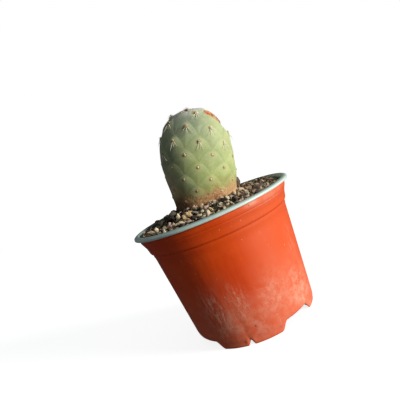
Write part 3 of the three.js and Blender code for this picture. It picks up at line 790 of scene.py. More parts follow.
def make_skin(material):
    quads, place = skin_net()
    right, left = place.T
    turn, number = lattice_place(right, left)
    faces = [quad for quad in quads if max(number[k] for k in quad) <= HIGHEST_NUMBER]
    height = stem_where("number", number, "height")
    from_areole = areole_distance(right, left, turn, number)
    edge, arch = tubercle_edges(right, left)
    points = list(stem_point(turn, number, skin_relief(edge, arch, height, from_areole)))
    edges = {(quad[k], quad[(k + 1) % 4]) for quad in faces for k in range(4)}
    open_edges = [pair for pair in edges if pair[::-1] not in edges]
    values = {"edge": edge, "arch": arch, "areole": from_areole, "stem_height": height}
    values = {key: list(numbers) for key, numbers in values.items()}

    # Rings of points close the crown, and a fan closes the buried foot. There each value is a plain one.
    def add_point(point, level):
        points.append(point)
        for key, value in (("edge", 0.5), ("arch", 0.5), ("areole", 9.0), ("stem_height", level)):
            values[key].append(value)
        return len(points) - 1

    foot, crown = (add_point(np.array([0, 0, level], float), level)
                   for level in (STEM_PROFILE[0][1], STEM_PROFILE[-1][1]))
    ladders = {}

    def ladder(start):
        """Points from the net's upper edge towards the crown."""
        if start not in ladders:
            ladders[start] = [start]
            for ring in range(1, CROWN_RINGS):
                up = number[start] + (CROWN_NUMBER - number[start]) * ring / CROWN_RINGS
                level = float(stem_where("number", up, "height"))
                point = stem_point(turn[start], up, 0.4 * float(rise_at(level)))
                ladders[start].append(add_point(point, level))
        return ladders[start]

    for a, b in open_edges:
        if number[a] < CROWN_NUMBER / 2:
            faces.append((b, a, foot))
            continue
        low, high = ladder(b), ladder(a)
        for ring in range(1, CROWN_RINGS):
            faces.append((low[ring - 1], high[ring - 1], high[ring], low[ring]))
        faces.append((low[-1], high[-1], crown))
    used = sorted({k for face in faces for k in face})
    renumbered = {old: new for new, old in enumerate(used)}
    faces = [tuple(renumbered[k] for k in face) for face in faces]
    points = np.array(points)[used]
    wobble = np.array([noise.noise(point * 0.09) for point in points])
    points = points + (0.2 * wobble + swelling(points))[:, None] * outward(points)
    values = {key: np.array(numbers)[used] for key, numbers in values.items()}
    return add_piece("cactus_skin", stand_up(points), faces, [material], "cactus_stem",
                     values=values)


def scar_frame():
    """The scar's centre, the way out of the stem there and the ways across and up the skin."""
    slope = float(stem_slope(float(stem_where("height", SCAR_HEIGHT, "number"))))
    direction = math.radians(SCAR_DIRECTION)
    centre = stem_spot(direction, SCAR_HEIGHT)
    level = np.array([math.sin(direction), -math.cos(direction), 0])
    normal = level * math.cos(slope) + np.array([0, 0, math.sin(slope)])
    across = np.array([math.cos(direction), math.sin(direction), 0])
    across = turned_about(across, normal, math.radians(SCAR_TURN))
    return centre + float(swelling(centre[None])[0]) * normal, normal, across, np.cross(across, normal)


def find_areoles():
    """Every areole, but for those that the scar covers."""
    found = []
    scar = scar_frame()[0]
    for index in range(1, LAST_AREOLE + 1):
        turn, height = areole_turn(index), float(stem_where("number", index, "height"))
        turn, height = STRAY_AREOLES.get(index, (turn, height))
        number = float(stem_where("height", height, "number"))
        rise = float(rise_at(height))
        point = stem_point(turn, number, rise)
        down = unit(stem_point(turn, number - 0.5, rise) - point)
        beside = stem_point(turn + 2, number, rise)
        normal = unit(np.cross(down, beside - point))
        point = point + float(swelling(point[None])[0]) * normal
        if np.linalg.norm(point - scar) > SCAR_CLEARANCE:
            found.append({"index": index, "height": height, "point": point, "normal": normal, "down": down})
    return found


def turned_about(vector, axis, angle):
    """A vector turned about an axis by an angle in radians."""
    return (vector * math.cos(angle) + np.cross(axis, vector) * math.sin(angle)
            + axis * np.dot(axis, vector) * (1 - math.cos(angle)))


def add_taper(points, faces, centreline, radii, sides):
    """A round rod along a centreline that ends in a point."""
    along = unit(np.gradient(centreline, axis=0))
    aside = unit(np.cross(along[0], [0.3, 0.5, 0.8]))
    start = len(points)
    for spot, way, radius in zip(centreline[:-1], along[:-1], radii[:-1]):
        across = unit(np.cross(way, aside))
        other = np.cross(across, way)
        for side in range(sides):
            angle = 2 * math.pi * side / sides
            points.append(spot + radius * (math.cos(angle) * across + math.sin(angle) * other))
    tip = len(points)
    points.append(centreline[-1])
    faces += joined_rings(start, len(centreline) - 1, sides) + fan(tip, tip - sides, sides)


def make_spines(areoles, material):
    random = SpineRandom(SEED)
    shape = np.random.default_rng(SEED)
    points, faces, along_values = [], [], []
    share = np.linspace(0, 1, SPINE_POINTS)[:, None]
    for areole in areoles:
        if areole["height"] <= SPINES_START:
            continue
        count = SPINE_COUNTS[areole["index"] % len(SPINE_COUNTS)]
        spread = SPINE_SPREAD + (SPINE_SPREAD_CROWN - SPINE_SPREAD) * float(smooth(areole["height"], 57, 62))
        for i in range(count):
            length = random.between(*SPINE_LENGTHS) + SPINE_ROOT
            side = math.radians((i - (count - 1) / 2) * spread + random.between(-6, 6))
            lift = math.radians(SPINE_LIFT + random.between(-4, 6))
            along = turned_about(areole["down"], areole["normal"], side)
            way = along * math.cos(lift) + areole["normal"] * math.sin(lift)
            sway = shape.uniform(-SPINE_SWAY, SPINE_SWAY)
            bend = (sway * np.cross(way, areole["normal"]) - SPINE_DROOP * areole["normal"]) * share ** 2
            centreline = areole["point"] - way * SPINE_ROOT + way * length * share + bend
            radii = shape.uniform(*SPINE_RADII) * (1 - share[:, 0]) ** 0.55 + 0.01
            add_taper(points, faces, centreline, radii, SPINE_SIDES)
            tone = shape.uniform()
            values = np.repeat(share[:-1, 0], SPINE_SIDES).tolist() + [1.0]
            along_values += [(value + tone) / 2 for value in values]
    return add_piece("spines", stand_up(np.array(points)), faces, [material],
                     values={"along": along_values})


def areole_size(height):
    """Small and bald below, woolly towards the crown."""
    return AREOLE_SIZE["low"] + AREOLE_SIZE["high"] * float(smooth(height, 22, 52))


def make_cushions(areoles, material):
    points, faces = [], []
    sides, rings = 20, 7
    for areole in areoles:
        size = areole_size(areole["height"])
        radius, rise = CUSHION_RADIUS * size, CUSHION_RISE * size
        across = unit(np.cross(areole["down"], areole["normal"]))
        start = len(points)
        centre = areole["point"] - areole["normal"] * 0.12
        for ring in range(rings):
            polar = math.pi / 2 * (ring + 0.3) / rings
            for side in range(sides):
                angle = 2 * math.pi * side / sides
                rough = 1 + 0.22 * noise.noise((angle * 1.2, polar * 3, areole["index"]))
                out = radius * math.sin(polar) * rough
                up = rise * math.cos(polar) * rough
                aside = math.cos(angle) * across + 1.15 * math.sin(angle) * areole["down"]
                points.append(centre + out * aside + up * areole["normal"])
        faces += fan(len(points), start, sides) + joined_rings(start, rings, sides, flipped=True)
        points.append(centre + rise * areole["normal"])
    return add_piece("areole_cushions", stand_up(np.array(points)), faces, [material])


def make_glochids(areoles, material):
    """Tufts of hair-fine bristles, longest near the crown, and browner there."""
    random = np.random.default_rng(SEED + 3)
    points, faces, tones = [], [], []
    for areole in areoles:
        size = areole_size(areole["height"])
        across = unit(np.cross(areole["down"], areole["normal"]))
        upper = float(smooth(areole["height"], 28, 52))
        crown = float(smooth(areole["height"], 58.5, 61))
        count = BRISTLE_COUNT["low"] + BRISTLE_COUNT["high"] * upper + BRISTLE_COUNT["crown"] * crown
        for _ in range(int(count)):
            angle, spread = random.uniform(0, 2 * math.pi), math.sqrt(random.uniform())
            side = math.cos(angle) * across + math.sin(angle) * areole["down"]
            root = areole["point"] + side * spread * size
            lean = spread * (0.9 + 0.5 * crown) + random.uniform(0, 0.25)
            way = unit(areole["normal"] * math.cos(lean) + side * math.sin(lean) + 0.25 * areole["down"])
            length = BRISTLE_LENGTH["low"] + BRISTLE_LENGTH["high"] * upper * random.uniform(0.3, 1)
            length *= random.uniform(0.6, 1.15) * (1 + 0.5 * crown)
            radius = BRISTLE_RADIUS["low"] + BRISTLE_RADIUS["high"] * upper
            one = unit(np.cross(way, across + 0.1))
            two = np.cross(way, one)
            start = len(points)
            for turn in np.arange(3) * 2 * math.pi / 3:
                points.append(root + radius * (math.cos(turn) * one + math.sin(turn) * two))
            points.append(root + way * length)
            faces += fan(start + 3, start, 3)
            tones += [random.uniform() * (1 - 0.75 * crown)] * 4
    return add_piece("glochids", stand_up(np.array(points)), faces, [material],
                     values={"tone": tones})


def make_scar(material):
    """A torn plate of cork at the stem's shoulder."""
    centre, normal, across, upward = scar_frame()
    points, above = [], []
    sides, rings = 72, 22
    for ring in range(rings):
        share = (ring + 1) / rings
        for side in range(sides):
            angle = 2 * math.pi * side / sides
            ragged = 1 + 0.3 * noise.fractal((1.5 * math.cos(angle), 1.5 * math.sin(angle), 4), 1, 2, 3)
            x = SCAR_SIZE[0] * share * ragged * math.cos(angle)
            y = SCAR_SIZE[1] * share * ragged * math.sin(angle)
            # The plate follows the stem's round shoulder and sinks into it at its edge.
            fall = (x * x / SCAR_BED_RADII[0] + y * y / SCAR_BED_RADII[1]) / 2
            lip = SCAR_LIP * float(bell(share - 0.8, 0.14))
            dome = SCAR_DOME * math.sqrt(max(0, 1 - (share * 0.98) ** 2))
            rough = SCAR_ROUGHNESS * noise.fractal((x * 0.9, y * 0.9, 2), 1, 2, 4) * (1 - share ** 4)
            points.append(centre + x * across + y * upward + (dome + lip + rough - fall + 0.15) * normal)
            above.append(0.5 + 0.35 * y / SCAR_SIZE[1] + 0.3 * x / SCAR_SIZE[0])
    faces = fan(len(points), 0, sides) + joined_rings(0, rings, sides, flipped=True)
    points.append(centre + 0.45 * normal)
    above.append(0.5)
    return add_piece("shoulder_scar", stand_up(np.array(points)), faces, [material],
                     values={"above": above})


# Soil

def soil_level(x, y):
    from_stem = np.maximum(0, np.hypot(x - STEM_BASE[0], y - STEM_BASE[1]) - MOUND_START)
    width = MOUND_WIDTH["left"] + (MOUND_WIDTH["right"] - MOUND_WIDTH["left"]) * smooth(x, -20, 0)
    mound = (MOUND_RISE - MOUND_TILT * x) * bell(from_stem, width)
    dip = DIP["depth"] * bell(np.hypot(x - DIP["x"], y - DIP["y"]), DIP["width"])
    return POT_HEIGHT + SOIL_EDGE + mound - dip


def icosphere(divisions):
    golden = (1 + math.sqrt(5)) / 2
    points = [
        (-1, golden, 0), (1, golden, 0), (-1, -golden, 0), (1, -golden, 0), (0, -1, golden), (0, 1, golden),
        (0, -1, -golden), (0, 1, -golden), (golden, 0, -1), (golden, 0, 1), (-golden, 0, -1), (-golden, 0, 1),
    ]
    faces = [
        (0, 11, 5), (0, 5, 1), (0, 1, 7), (0, 7, 10), (0, 10, 11), (1, 5, 9), (5, 11, 4), (11, 10, 2),
        (10, 7, 6), (7, 1, 8), (3, 9, 4), (3, 4, 2), (3, 2, 6), (3, 6, 8), (3, 8, 9), (4, 9, 5), (2, 4, 11),
        (6, 2, 10), (8, 6, 7), (9, 8, 1),
    ]
    for _ in range(divisions):
        middles = {}

        def middle(a, b):
            key = (min(a, b), max(a, b))
            if key not in middles:
                middles[key] = len(points)
                points.append(tuple((np.array(points[a]) + np.array(points[b])) / 2))
            return middles[key]

        finer = []
        for a, b, c in faces:
            ab, bc, ca = middle(a, b), middle(b, c), middle(c, a)
            finer += [(a, ab, ca), (b, bc, ab), (c, ca, bc), (ab, bc, ca)]
        faces = finer
    return unit(np.array(points, float)), np.array(faces)


def make_chips(random, divisions, count, roundness):
    """Angular stone shapes: balls with flats cut off them at random."""
    ball, faces = icosphere(divisions)
    shapes = []
    for shape in range(count):
        points = ball
        for _ in range(11):
            flat = unit(random.normal(size=3))
            depth = random.uniform(roundness, roundness + 0.3)
            over = np.maximum(points @ flat - depth, 0)
            points = points - over[:, None] * flat
        points = points * random.uniform([1.05, 0.8, 0.6], [1.5, 1.05, 0.85])
        bumps = np.array([noise.noise(tuple(p * 2.2 + shape * 7)) for p in points])
        shapes.append(points * (1 + 0.12 * bumps[:, None]))
    return shapes, faces


def turn_matrices(azimuth, tilt, roll):
    """Rotations by roll about x, tilt about y and then azimuth about z, in radians."""
    (ca, sa), (ct, st), (cr, sr) = ((np.cos(angle), np.sin(angle)) for angle in (azimuth, tilt, roll))
    return np.stack([
        ca * ct, ca * st * sr - sa * cr, ca * st * cr + sa * sr,
        sa * ct, sa * st * sr + ca * cr, sa * st * cr - ca * sr,
        -st, ct * sr, ct * cr,
    ], 1).reshape(-1, 3, 3)


def stem_clearance(x, y):
    """Distance from the stem's skin at soil level."""
    level = soil_level(x, y) - POT_HEIGHT
    middle_x = STEM_BASE[0] + level * math.tan(math.radians(STEM_LEAN))
    return np.hypot(x - middle_x, (y - STEM_BASE[1]) / STEM_DEPTH_RATIO) - STEM_RADIUS_AT_SOIL


def front_stone(across, down, length, thickness, slant, tone):
    """A stone seen in the picture, where it lies on the soil: an entry like those of BACK_STONES."""
    right, up, back = np.array(CAMERA_AXES)
    focus = CAMERA["lens"] / CAMERA["sensor"] * PICTURE_PIXELS
    middle = PICTURE_PIXELS / 2
    sight = unit((across - middle) * right + (middle - down) * up - focus * back)
    reach = np.arange(150, 330, 0.05)
    x, y, z = (np.array(CAMERA["place"]) + reach[:, None] * sight).T
    pixel = reach / focus
    inside = np.hypot(x, y) < INNER_RADIUS - 0.3 * thickness * pixel
    at = np.argmax(inside & (z <= soil_level(x, y) + 0.45 * thickness * pixel + 0.2))
    sizes = (x[at], y[at], length * pixel[at] / 2, thickness * pixel[at] / 2)
    return (*(round(float(size), 1) for size in sizes), round(slant - PICTURE_TURN), tone)


def scatter(random, count, sizes, bias, taken=(), gap=0.0, chance=None):
    """Places and sizes of stones all over the soil, clear of the stem and, with a gap, of each other."""
    # A higher bias gives more small ones, and chance is how likely a stone is to stay at a place.
    spots = [tuple(spot[:3]) for spot in taken]
    first = len(spots)
    for _ in range(count * 12):
        if len(spots) - first == count:
            break
        size = sizes[0] + (sizes[1] - sizes[0]) * random.uniform() ** bias
        angle = random.uniform(0, 2 * math.pi)
        radius = (INNER_RADIUS - 0.7 - size * 0.9) * math.sqrt(random.uniform())
        x, y = radius * math.cos(angle), radius * math.sin(angle)
        if stem_clearance(x, y) < size * 0.5 or (chance is not None and random.uniform() > chance(x, y)):
            continue
        if gap:
            others = np.array(spots) if spots else np.empty((0, 3))
            away = np.hypot(others[:, 0] - x, others[:, 1] - y)
            if np.any(away < gap * (others[:, 2] + size)):
                continue
        spots.append((x, y, size))
    return spots[first:]


def pumice_chance(x, y):
    """Pale stones lie in clumps, with fewer of them at the back on the left."""
    clump = 0.5 + 0.5 * noise.noise((x * 0.12, y * 0.12, 3))
    forward = 0.2 + 0.8 * smooth(x - 0.5 * y, -30, -4) * (1 - 0.7 * smooth(y, -4, 10))
    return forward * (0.25 + 0.75 * smooth(clump, 0.35, 0.6))


def make_large_stones(stones, material, shapes, faces):
    """Stones set one by one, each with its half length, half thickness, lean and tone."""
    points, all_faces, tones = [], [], []
    for number, (x, y, length, thickness, lean, tone) in enumerate(stones):
        shape = shapes[number % len(shapes)]
        size = (length, 0.5 * (length + thickness), thickness)
        across, deep, up = (1.2 * shape / np.abs(shape).max(0) * size).T
        cosine, sine = math.cos(math.radians(lean)), math.sin(math.radians(lean))
        place = np.array([x, y, float(soil_level(x, y)) + 0.9 * thickness + 0.2])
        turned = [across * cosine - up * sine, deep, across * sine + up * cosine]
        all_faces += (faces + number * len(shape)).tolist()
        points.append(np.stack(turned, 1) + place)
        tones += [STONE_TONES.index(tone) / (len(STONE_TONES) - 1)] * len(shape)
    return add_piece("large_stones", np.concatenate(points), all_faces, [material], sharp=40,
                     values={"tone": tones})


def make_stones(name, spots, depth, shapes, faces, material, random, tilt=25.0, sharp=0):
    """Stones lying on the soil: depth is how far each centre is below the soil's level, in its own sizes."""
    count = len(spots)
    x, y, sizes = np.array(spots).T
    turns = turn_matrices(
        random.uniform(0, 2 * math.pi, count), np.radians(random.normal(0, tilt, count)),
        np.radians(random.normal(0, tilt, count)))
    centres = np.stack([x, y, soil_level(x, y) - sizes * random.uniform(*depth, count)], 1)
    picks = random.integers(len(shapes), size=count)
    base = np.stack([shapes[pick] for pick in picks])
    points = np.einsum("nij,nkj->nki", turns, base) * sizes[:, None, None] + centres[:, None, :]
    offsets = np.arange(count)[:, None, None] * len(shapes[0])
    all_faces = (faces[None] + offsets).reshape(-1, 3)
    tones = np.repeat(random.uniform(size=count), len(shapes[0]))
    return add_piece(name, points.reshape(-1, 3), all_faces.tolist(), [material],
                     sharp=sharp, values={"tone": tones})


def make_dark_stone(shapes, faces, material):
    points = shapes[0] / np.abs(shapes[0]).max(0) * np.array(DARK_STONE["radii"])
    points = points + np.array([DARK_STONE[key] for key in "xyz"])
    return add_piece("dark_stone", points, faces.tolist(), [material], sharp=45,
                     values={"tone": [0.35] * len(points)})


def make_bed(material):
    """The fine bed that shows between the stones, and the fill under it."""
    rings, sides = 90, 240
    angles = np.arange(sides) * 2 * math.pi / sides
    radii, turns = np.meshgrid(np.linspace(1, INNER_RADIUS - 0.3, rings), angles, indexing="ij")
    x, y = (radii * np.cos(turns)).ravel(), (radii * np.sin(turns)).ravel()
    lumps = np.array([noise.fractal((px * 0.35, py * 0.35, 0), 1, 2, 4) for px, py in zip(x, y)])
    points = [np.stack([x, y, soil_level(x, y) - BED_DEPTH + BED_LUMPS * lumps], 1)]
    # Its sides follow the inside of the pot's wall.
    sides_down = [(46.5, 71), (44.9, 66.5), (wall_radius(40) - WALL - 0.4, 40),
                  (wall_radius(8) - WALL - 0.5, FILL_BOTTOM)]
    for radius, height in sides_down:
        points.append(np.stack([radius * np.cos(angles), radius * np.sin(angles), height + 0 * angles], 1))
    rings += len(sides_down)
    count = rings * sides
    points.append([(0, 0, float(soil_level(0, 0))), (0, 0, FILL_BOTTOM)])
    faces = joined_rings(0, rings, sides, flipped=True) + fan(count, 0, sides)
    faces += fan(count + 1, count - sides, sides, flipped=True)
    return add_piece("soil_bed", np.concatenate(points), faces, [material], "soil")


# Materials

def make_pot_plastic():
    shader = new_material("pot_plastic", Specular_IOR_Level=0.3)
    place = shader.place()
    x, _, z = shader.parts(place)
    clouds = shader.noise(place, 6, 10, 0.78)
    broad = shader.noise(place, 22, 3, 0.5)
    fine = shader.noise(place, 1.2, 5, 0.75)
    streaks = shader.noise(shader.place((1, 1, 0.22)), 1.6, 8, 0.8)
    # Orange plastic, a little deeper in broad patches, and paler on the lit right: a painted sheen with some
    # dust haze
    plastic = mottle(shader, place, 26, (222, 76, 12), (214, 64, 4))
    sheen_and_dust_right = shader.step(shader.plus(x, shader.times(shader.noise(place, 14), 12)), 2, 26)
    # Lime and dust: a thin haze over the lower half, cloudy patches on the right, streaks on the left
    haze = shader.times(shader.step(shader.plus(z, shader.times(broad, 30)), 66, 22), 0.3)
    cloudy = shader.blobs(
        place, ((31, -28, 17), (17, 22, 22), 1), ((13, -40, 25), (15, 14, 18), 0.6),
        ((-1, -41, 12), (16, 14, 12), 0.4), ((-15, -38.5, 16), (9, 12, 9), 0.75))
    streaky = shader.blobs(
        place, ((-22, -36, 24), (12, 16, 25), 1.5), ((-7, -42, 28), (9, 14, 17), 1),
        ((36, -22, 44), (8, 14, 18), 0.5))
    band_smear = shader.blob(place, (21, -43.5, 77.5), (7, 14, 2.6))
    band_smear = shader.times(band_smear, shader.step(fine, 0.3, 0.55))
    band_haze = shader.blob(place, (34, -36, 76.5), (26, 26, 5.5))
    band_haze = shader.times(band_haze, shader.step(clouds, 0.3, 0.6))
    dust = shader.math("MINIMUM", shader.plus(
        shader.times(haze, shader.step(clouds, 0.3, 0.7, 0.35, 1)),
        shader.times(cloudy, shader.step(clouds, 0.4, 0.68), 0.6),
        shader.times(streaky, shader.step(streaks, 0.46, 0.64), 0.7),
        shader.times(shader.either(cloudy, streaky), shader.step(fine, 0.5, 0.72), 0.32),
        shader.times(band_smear, 0.6), shader.times(band_haze, 0.3)), 0.8)
    # Scratches and specks
    scratches = shader.noise(shader.place((1, 1, 0.09), (3, 1, 0)), 0.8, 2, 0.5, 1.5)
    scratches = shader.times(shader.step(scratches, 0.7, 0.77), shader.step(broad, 0.45, 0.62), 0.4)
    pale_specks = shader.times(specks(shader, place, 3.1, 0.15), 0.55)
    far_specks = specks(shader, shader.place(shift=(9, 4, 2)), 7, 0.07)
    dark_specks = shader.either(
        shader.times(far_specks, shader.step(clouds, 0.35, 0.5)),
        shader.times(band_smear, specks(shader, place, 1.6, 0.45)))
    pin_mark = shader.blob(place, (-3.1, -40.6, 11.1), (0.9, 3, 0.9))
    tone = shader.paint(
        plastic, (sheen_and_dust_right, (226, 92, 48)), (dust, (240, 184, 158)),
        (shader.either(scratches, pale_specks), (238, 196, 176)),
        (shader.times(shader.either(dark_specks, pin_mark), 0.75), (66, 26, 18)))
    rough = shader.plus(0.44, shader.times(dust, 0.4), shader.times(fine, 0.08))
    grain = shader.noise(place, 0.5, 2, 0.5)
    ripple = shader.noise(shader.place((1, 1, 0.35)), 9, 2, 0.5)
    normal = shader.bumps((grain, 0.03), (ripple, 0.3), (shader.either(dust, scratches), 0.04))
    return shader.finish(tone, rough, normal)


def make_lining_plastic():
    shader = new_material("lining_plastic", Specular_IOR_Level=0.35)
    place = shader.place()
    x, y, z = shader.parts(place)
    plastic = mottle(shader, place, 11, (200, 223, 215), (184, 213, 207))
    lit = shader.times(shader.step(x, -12, 24), shader.step(z, 80.9, 80.2, 0.3, 1))
    # Soil stains and painted shade darken the inside of the wall below the lip, and grime sits in the lip's
    # pores
    patches = shader.noise(place, 3, 4, 0.6)
    inside = shader.step(shader.plus(shader.times(x, x), shader.times(y, y)), 50 ** 2, 49.4 ** 2)
    # stain: soil stain and painted shade on the inside of the wall under the lip
    stain = shader.times(shader.step(z, 80.6, 77.8), shader.step(patches, 0.15, 0.5), inside)
    grime = shader.times(shader.step(shader.noise(place, 6, 5, 0.7), 0.5, 0.75), 0.3)
    grit = shader.times(specks(shader, place, 2.2, 0.16), 0.6)
    on_back = shader.times(shader.step(y, 6, 30), shader.step(patches, 0.3, 0.55), 0.6)
    on_top = shader.times(shader.step(z, 80.4, 80.97), shader.step(patches, 0.2, 0.5, 0.5, 1), 0.55)
    tone = shader.paint(
        plastic, (lit, (210, 228, 221)), (shader.either(grime, on_top), (126, 138, 128)),
        (shader.times(stain, 0.85), (36, 48, 46)), (on_back, (84, 78, 66)), (grit, (90, 84, 74)))
    rough = shader.plus(0.36, shader.times(stain, 0.4), shader.times(grime, 0.5))
    return shader.finish(tone, rough, shader.bumps((shader.noise(place, 0.8, 3, 0.6), 0.05)))


def make_skin_material():
    shader = new_material("cactus_skin", Specular_IOR_Level=0.3, Subsurface_Weight=0.08,
                          Subsurface_Scale=0.004, Subsurface_Radius=(0.5, 0.8, 0.2))
    place = shader.place()
    x, _, z = shader.parts(place)
    height, edge, arch, areole = map(shader.attribute, ("stem_height", "edge", "arch", "areole"))
    patch = shader.noise(place, 9, 4, 0.6)
    fine = shader.noise(place, 1.6, 5, 0.65)
    # Yellow green that turns grey with height, under a waxy bloom, and almost white at the crown
    lower = mottle(shader, place, 7, (176, 188, 116), (160, 174, 108))
    upper = mottle(shader, place, 6, (170, 181, 138), (152, 166, 126))
    higher = shader.step(shader.plus(height, shader.times(patch, 16)), 26, 62)
    bloom = shader.times(shader.step(fine, 0.42, 0.75), shader.step(patch, 0.35, 0.65), 0.3)
    crown = shader.times(shader.step(shader.plus(height, shader.times(fine, 10)), 60, 69), 0.65)
    peak = shader.blob(place, (16, -2, 140.5), (14, 12, 6))
    peak = shader.times(peak, shader.step(fine, 0.35, 0.6), 0.75)
    # Darker and greyer on the left of the crown and on the left side, partly a greyer skin and partly painted
    # shade; yellower and paler on the right, a painted light
    grey = shader.either(shader.times(shader.blob(place, (5, -4, 137), (24, 40, 19)), 0.7),
                         shader.times(shader.step(x, 6, -19), 0.62))
    shaded_grey_tone = mottle(shader, place, 4, (112, 122, 114), (128, 138, 128))
    painted_light_right = shader.times(shader.step(x, 14, 30), 0.5)
    # Browner low on the left
    low_left = shader.times(shader.step(x, -8, -19), shader.step(z, 116, 100), 0.55)
    pores = specks(shader, place, 0.9, 0.4)
    green = shader.paint(
        lower, (higher, upper), (bloom, (200, 208, 180)), (grey, shaded_grey_tone), (crown, (200, 202, 192)),
        (painted_light_right, (208, 216, 158)), (peak, (214, 216, 208)), (low_left, (206, 166, 134)),
        (shader.times(pores, 0.14), (212, 218, 182)))
    # Each tubercle is paler near its areole, a painted light on its raised middle, and painted shade darkens
    # the valleys between tubercles; a thin seam divides it from the next, with a pale line beside it
    near = shader.times(shader.step(areole, 6.5, 1.5), 0.22)
    smudge = shader.noise(place, 5, 3, 0.6)
    arched = shader.times(shader.step(height, 5, 12), shader.step(height, 58, 49))
    valley_shade = shader.times(shader.step(edge, 0.22, 0), shader.step(smudge, 0.35, 0.62), arched, 0.16)
    drawn = shader.times(arched, shader.step(patch, 0.3, 0.6, 0.25, 1))
    seam = shader.times(shader.step(edge, 0.045, 0.012), drawn, 0.1)
    beside = shader.either(
        shader.times(shader.step(arch, 0.05, 0.085), shader.step(arch, 0.14, 0.095)),
        shader.times(shader.step(arch, 0.155, 0.185), shader.step(arch, 0.235, 0.195), 0.7))
    beside = shader.times(beside, drawn, shader.step(smudge, 0.3, 0.65), 0.3)
    # Brown rings round the areoles, and freckles
    ring = shader.times(shader.step(shader.plus(areole, fine), 2.3, 1.2), 0.75)
    freckles = shader.times(specks(shader, shader.place(shift=(5, 2, 7)), 6, 0.085), 0.7)
    # Corky foot with a ragged edge, and stained skin above it
    ragged = shader.plus(
        height, shader.times(shader.math("SUBTRACT", patch, 0.5), 13),
        shader.times(shader.math("SUBTRACT", fine, 0.5), 7), shader.step(x, -6, 20, 0, -3))
    cork = shader.times(shader.step(ragged, 10.4, 5), 0.92)
    stain = shader.times(shader.step(ragged, 17, 6), 0.5)
    cork_dark = shader.times(shader.step(shader.noise(place, 2.6, 5, 0.7), 0.45, 0.65), 0.7)
    # The cork is darker on its shaded left, a painted shade, and paler on its lit right, a painted light.
    cork_tone = shader.paint(
        mottle(shader, place, 1.8, (168, 116, 78), (196, 152, 112)), (cork_dark, (112, 66, 42)),
        (shader.step(x, -4, -18, 0, 0.75), (84, 52, 34)), (shader.step(x, 6, 20, 0, 0.6), (216, 176, 130)),
        (shader.times(specks(shader, place, 1.3, 0.45), 0.5), (226, 200, 160)))
    tone = shader.paint(
        green, (near, (206, 212, 160)), (valley_shade, (112, 130, 84)), (seam, (104, 124, 92)),
        (beside, (212, 220, 172)), (ring, (154, 118, 64)), (freckles, (124, 84, 50)),
        (stain, (160, 132, 72)), (cork, cork_tone))
    rough = shader.plus(0.6, shader.times(cork, 0.3), shader.times(fine, 0.1))
    flakes = shader.times(shader.noise(place, 1.1, 4, 0.7), cork)
    normal = shader.bumps((shader.noise(place, 0.45, 3, 0.6), 0.04), (pores, 0.03), (flakes, 0.5))
    return shader.finish(tone, rough, normal)


def make_cushion_material():
    shader = new_material("areole_felt", Specular_IOR_Level=0.1)
    place = shader.place()
    x, _, z = shader.parts(place)
    # Painted shade darkens the felt on the left side, and most on the left of the crown; the crown is grey in
    # front
    crown = shader.step(z, 131, 136)
    crown_left_shade = shader.times(crown, shader.step(x, 12.6, 11.6), 0.9)
    felt = shader.paint(
        mottle(shader, place, 0.7, (242, 232, 200), (202, 170, 116)),
        (shader.step(z, 112, 132, 0, 0.35), (140, 104, 64)),
        (shader.step(shader.noise(place, 10), 0.5, 0.6, 0, 0.5), (118, 82, 48)),
        (shader.step(x, -8, -16, 0, 0.5), (96, 62, 42)),
        (shader.times(crown, 0.8), (176, 166, 146)), (crown_left_shade, (78, 50, 38)))
    rough = shader.plus(0.85, shader.times(shader.noise(place, 0.3), 0.1))
    return shader.finish(felt, rough, shader.bumps((shader.noise(place, 0.18, 3, 0.7), 0.12)))


def make_glochid_material():
    shader = new_material("glochid_bristle", Specular_IOR_Level=0.3)
    tone = shader.attribute("tone")
    straw = shader.paint(colour(158, 118, 78), (shader.step(tone, 0, 0.7), (248, 240, 214)))
    return shader.finish(straw, shader.plus(0.45, shader.times(tone, 0.2)))


def make_spine_material():
    shader = new_material("spine_horn", Specular_IOR_Level=0.5)
    place = shader.place()
    pale = mottle(shader, place, 1.2, (250, 244, 228), (238, 226, 200))
    horn = shader.paint(pale, (shader.step(shader.attribute("along"), 0.9, 1), (140, 98, 66)))
    return shader.finish(horn, shader.plus(0.4, shader.times(shader.noise(place, 0.5), 0.2)))


def make_scar_material():
    shader = new_material("scar_cork", Specular_IOR_Level=0.2)
    place = shader.place()
    patches = shader.noise(place, 2.2, 5, 0.7)
    # Tan cork below, a dark torn edge above, and a fresh red spot at the front of it
    height = shader.plus(shader.attribute("above"), shader.times(shader.math("SUBTRACT", patches, 0.5), 0.5))
    dark = shader.step(height, 0.6, 0.78)
    red = shader.blob(place, (22.5, -1.2, 134.8), (3.6, 5, 2.8))
    red = shader.times(red, shader.step(patches, 0.3, 0.5), 0.95)
    black = shader.times(shader.blob(place, (24.7, -0.2, 132.7), (1.6, 4, 1.4)), 0.85)
    tone = shader.paint(
        mottle(shader, place, 1.8, (214, 172, 126), (186, 132, 88)), (shader.times(dark, 0.9), (92, 48, 34)),
        (red, (206, 84, 50)), (black, (62, 30, 24)))
    rough = shader.plus(0.8, shader.times(dark, 0.1))
    return shader.finish(tone, rough, shader.bumps((shader.noise(place, 0.8, 5, 0.7), 0.4)))


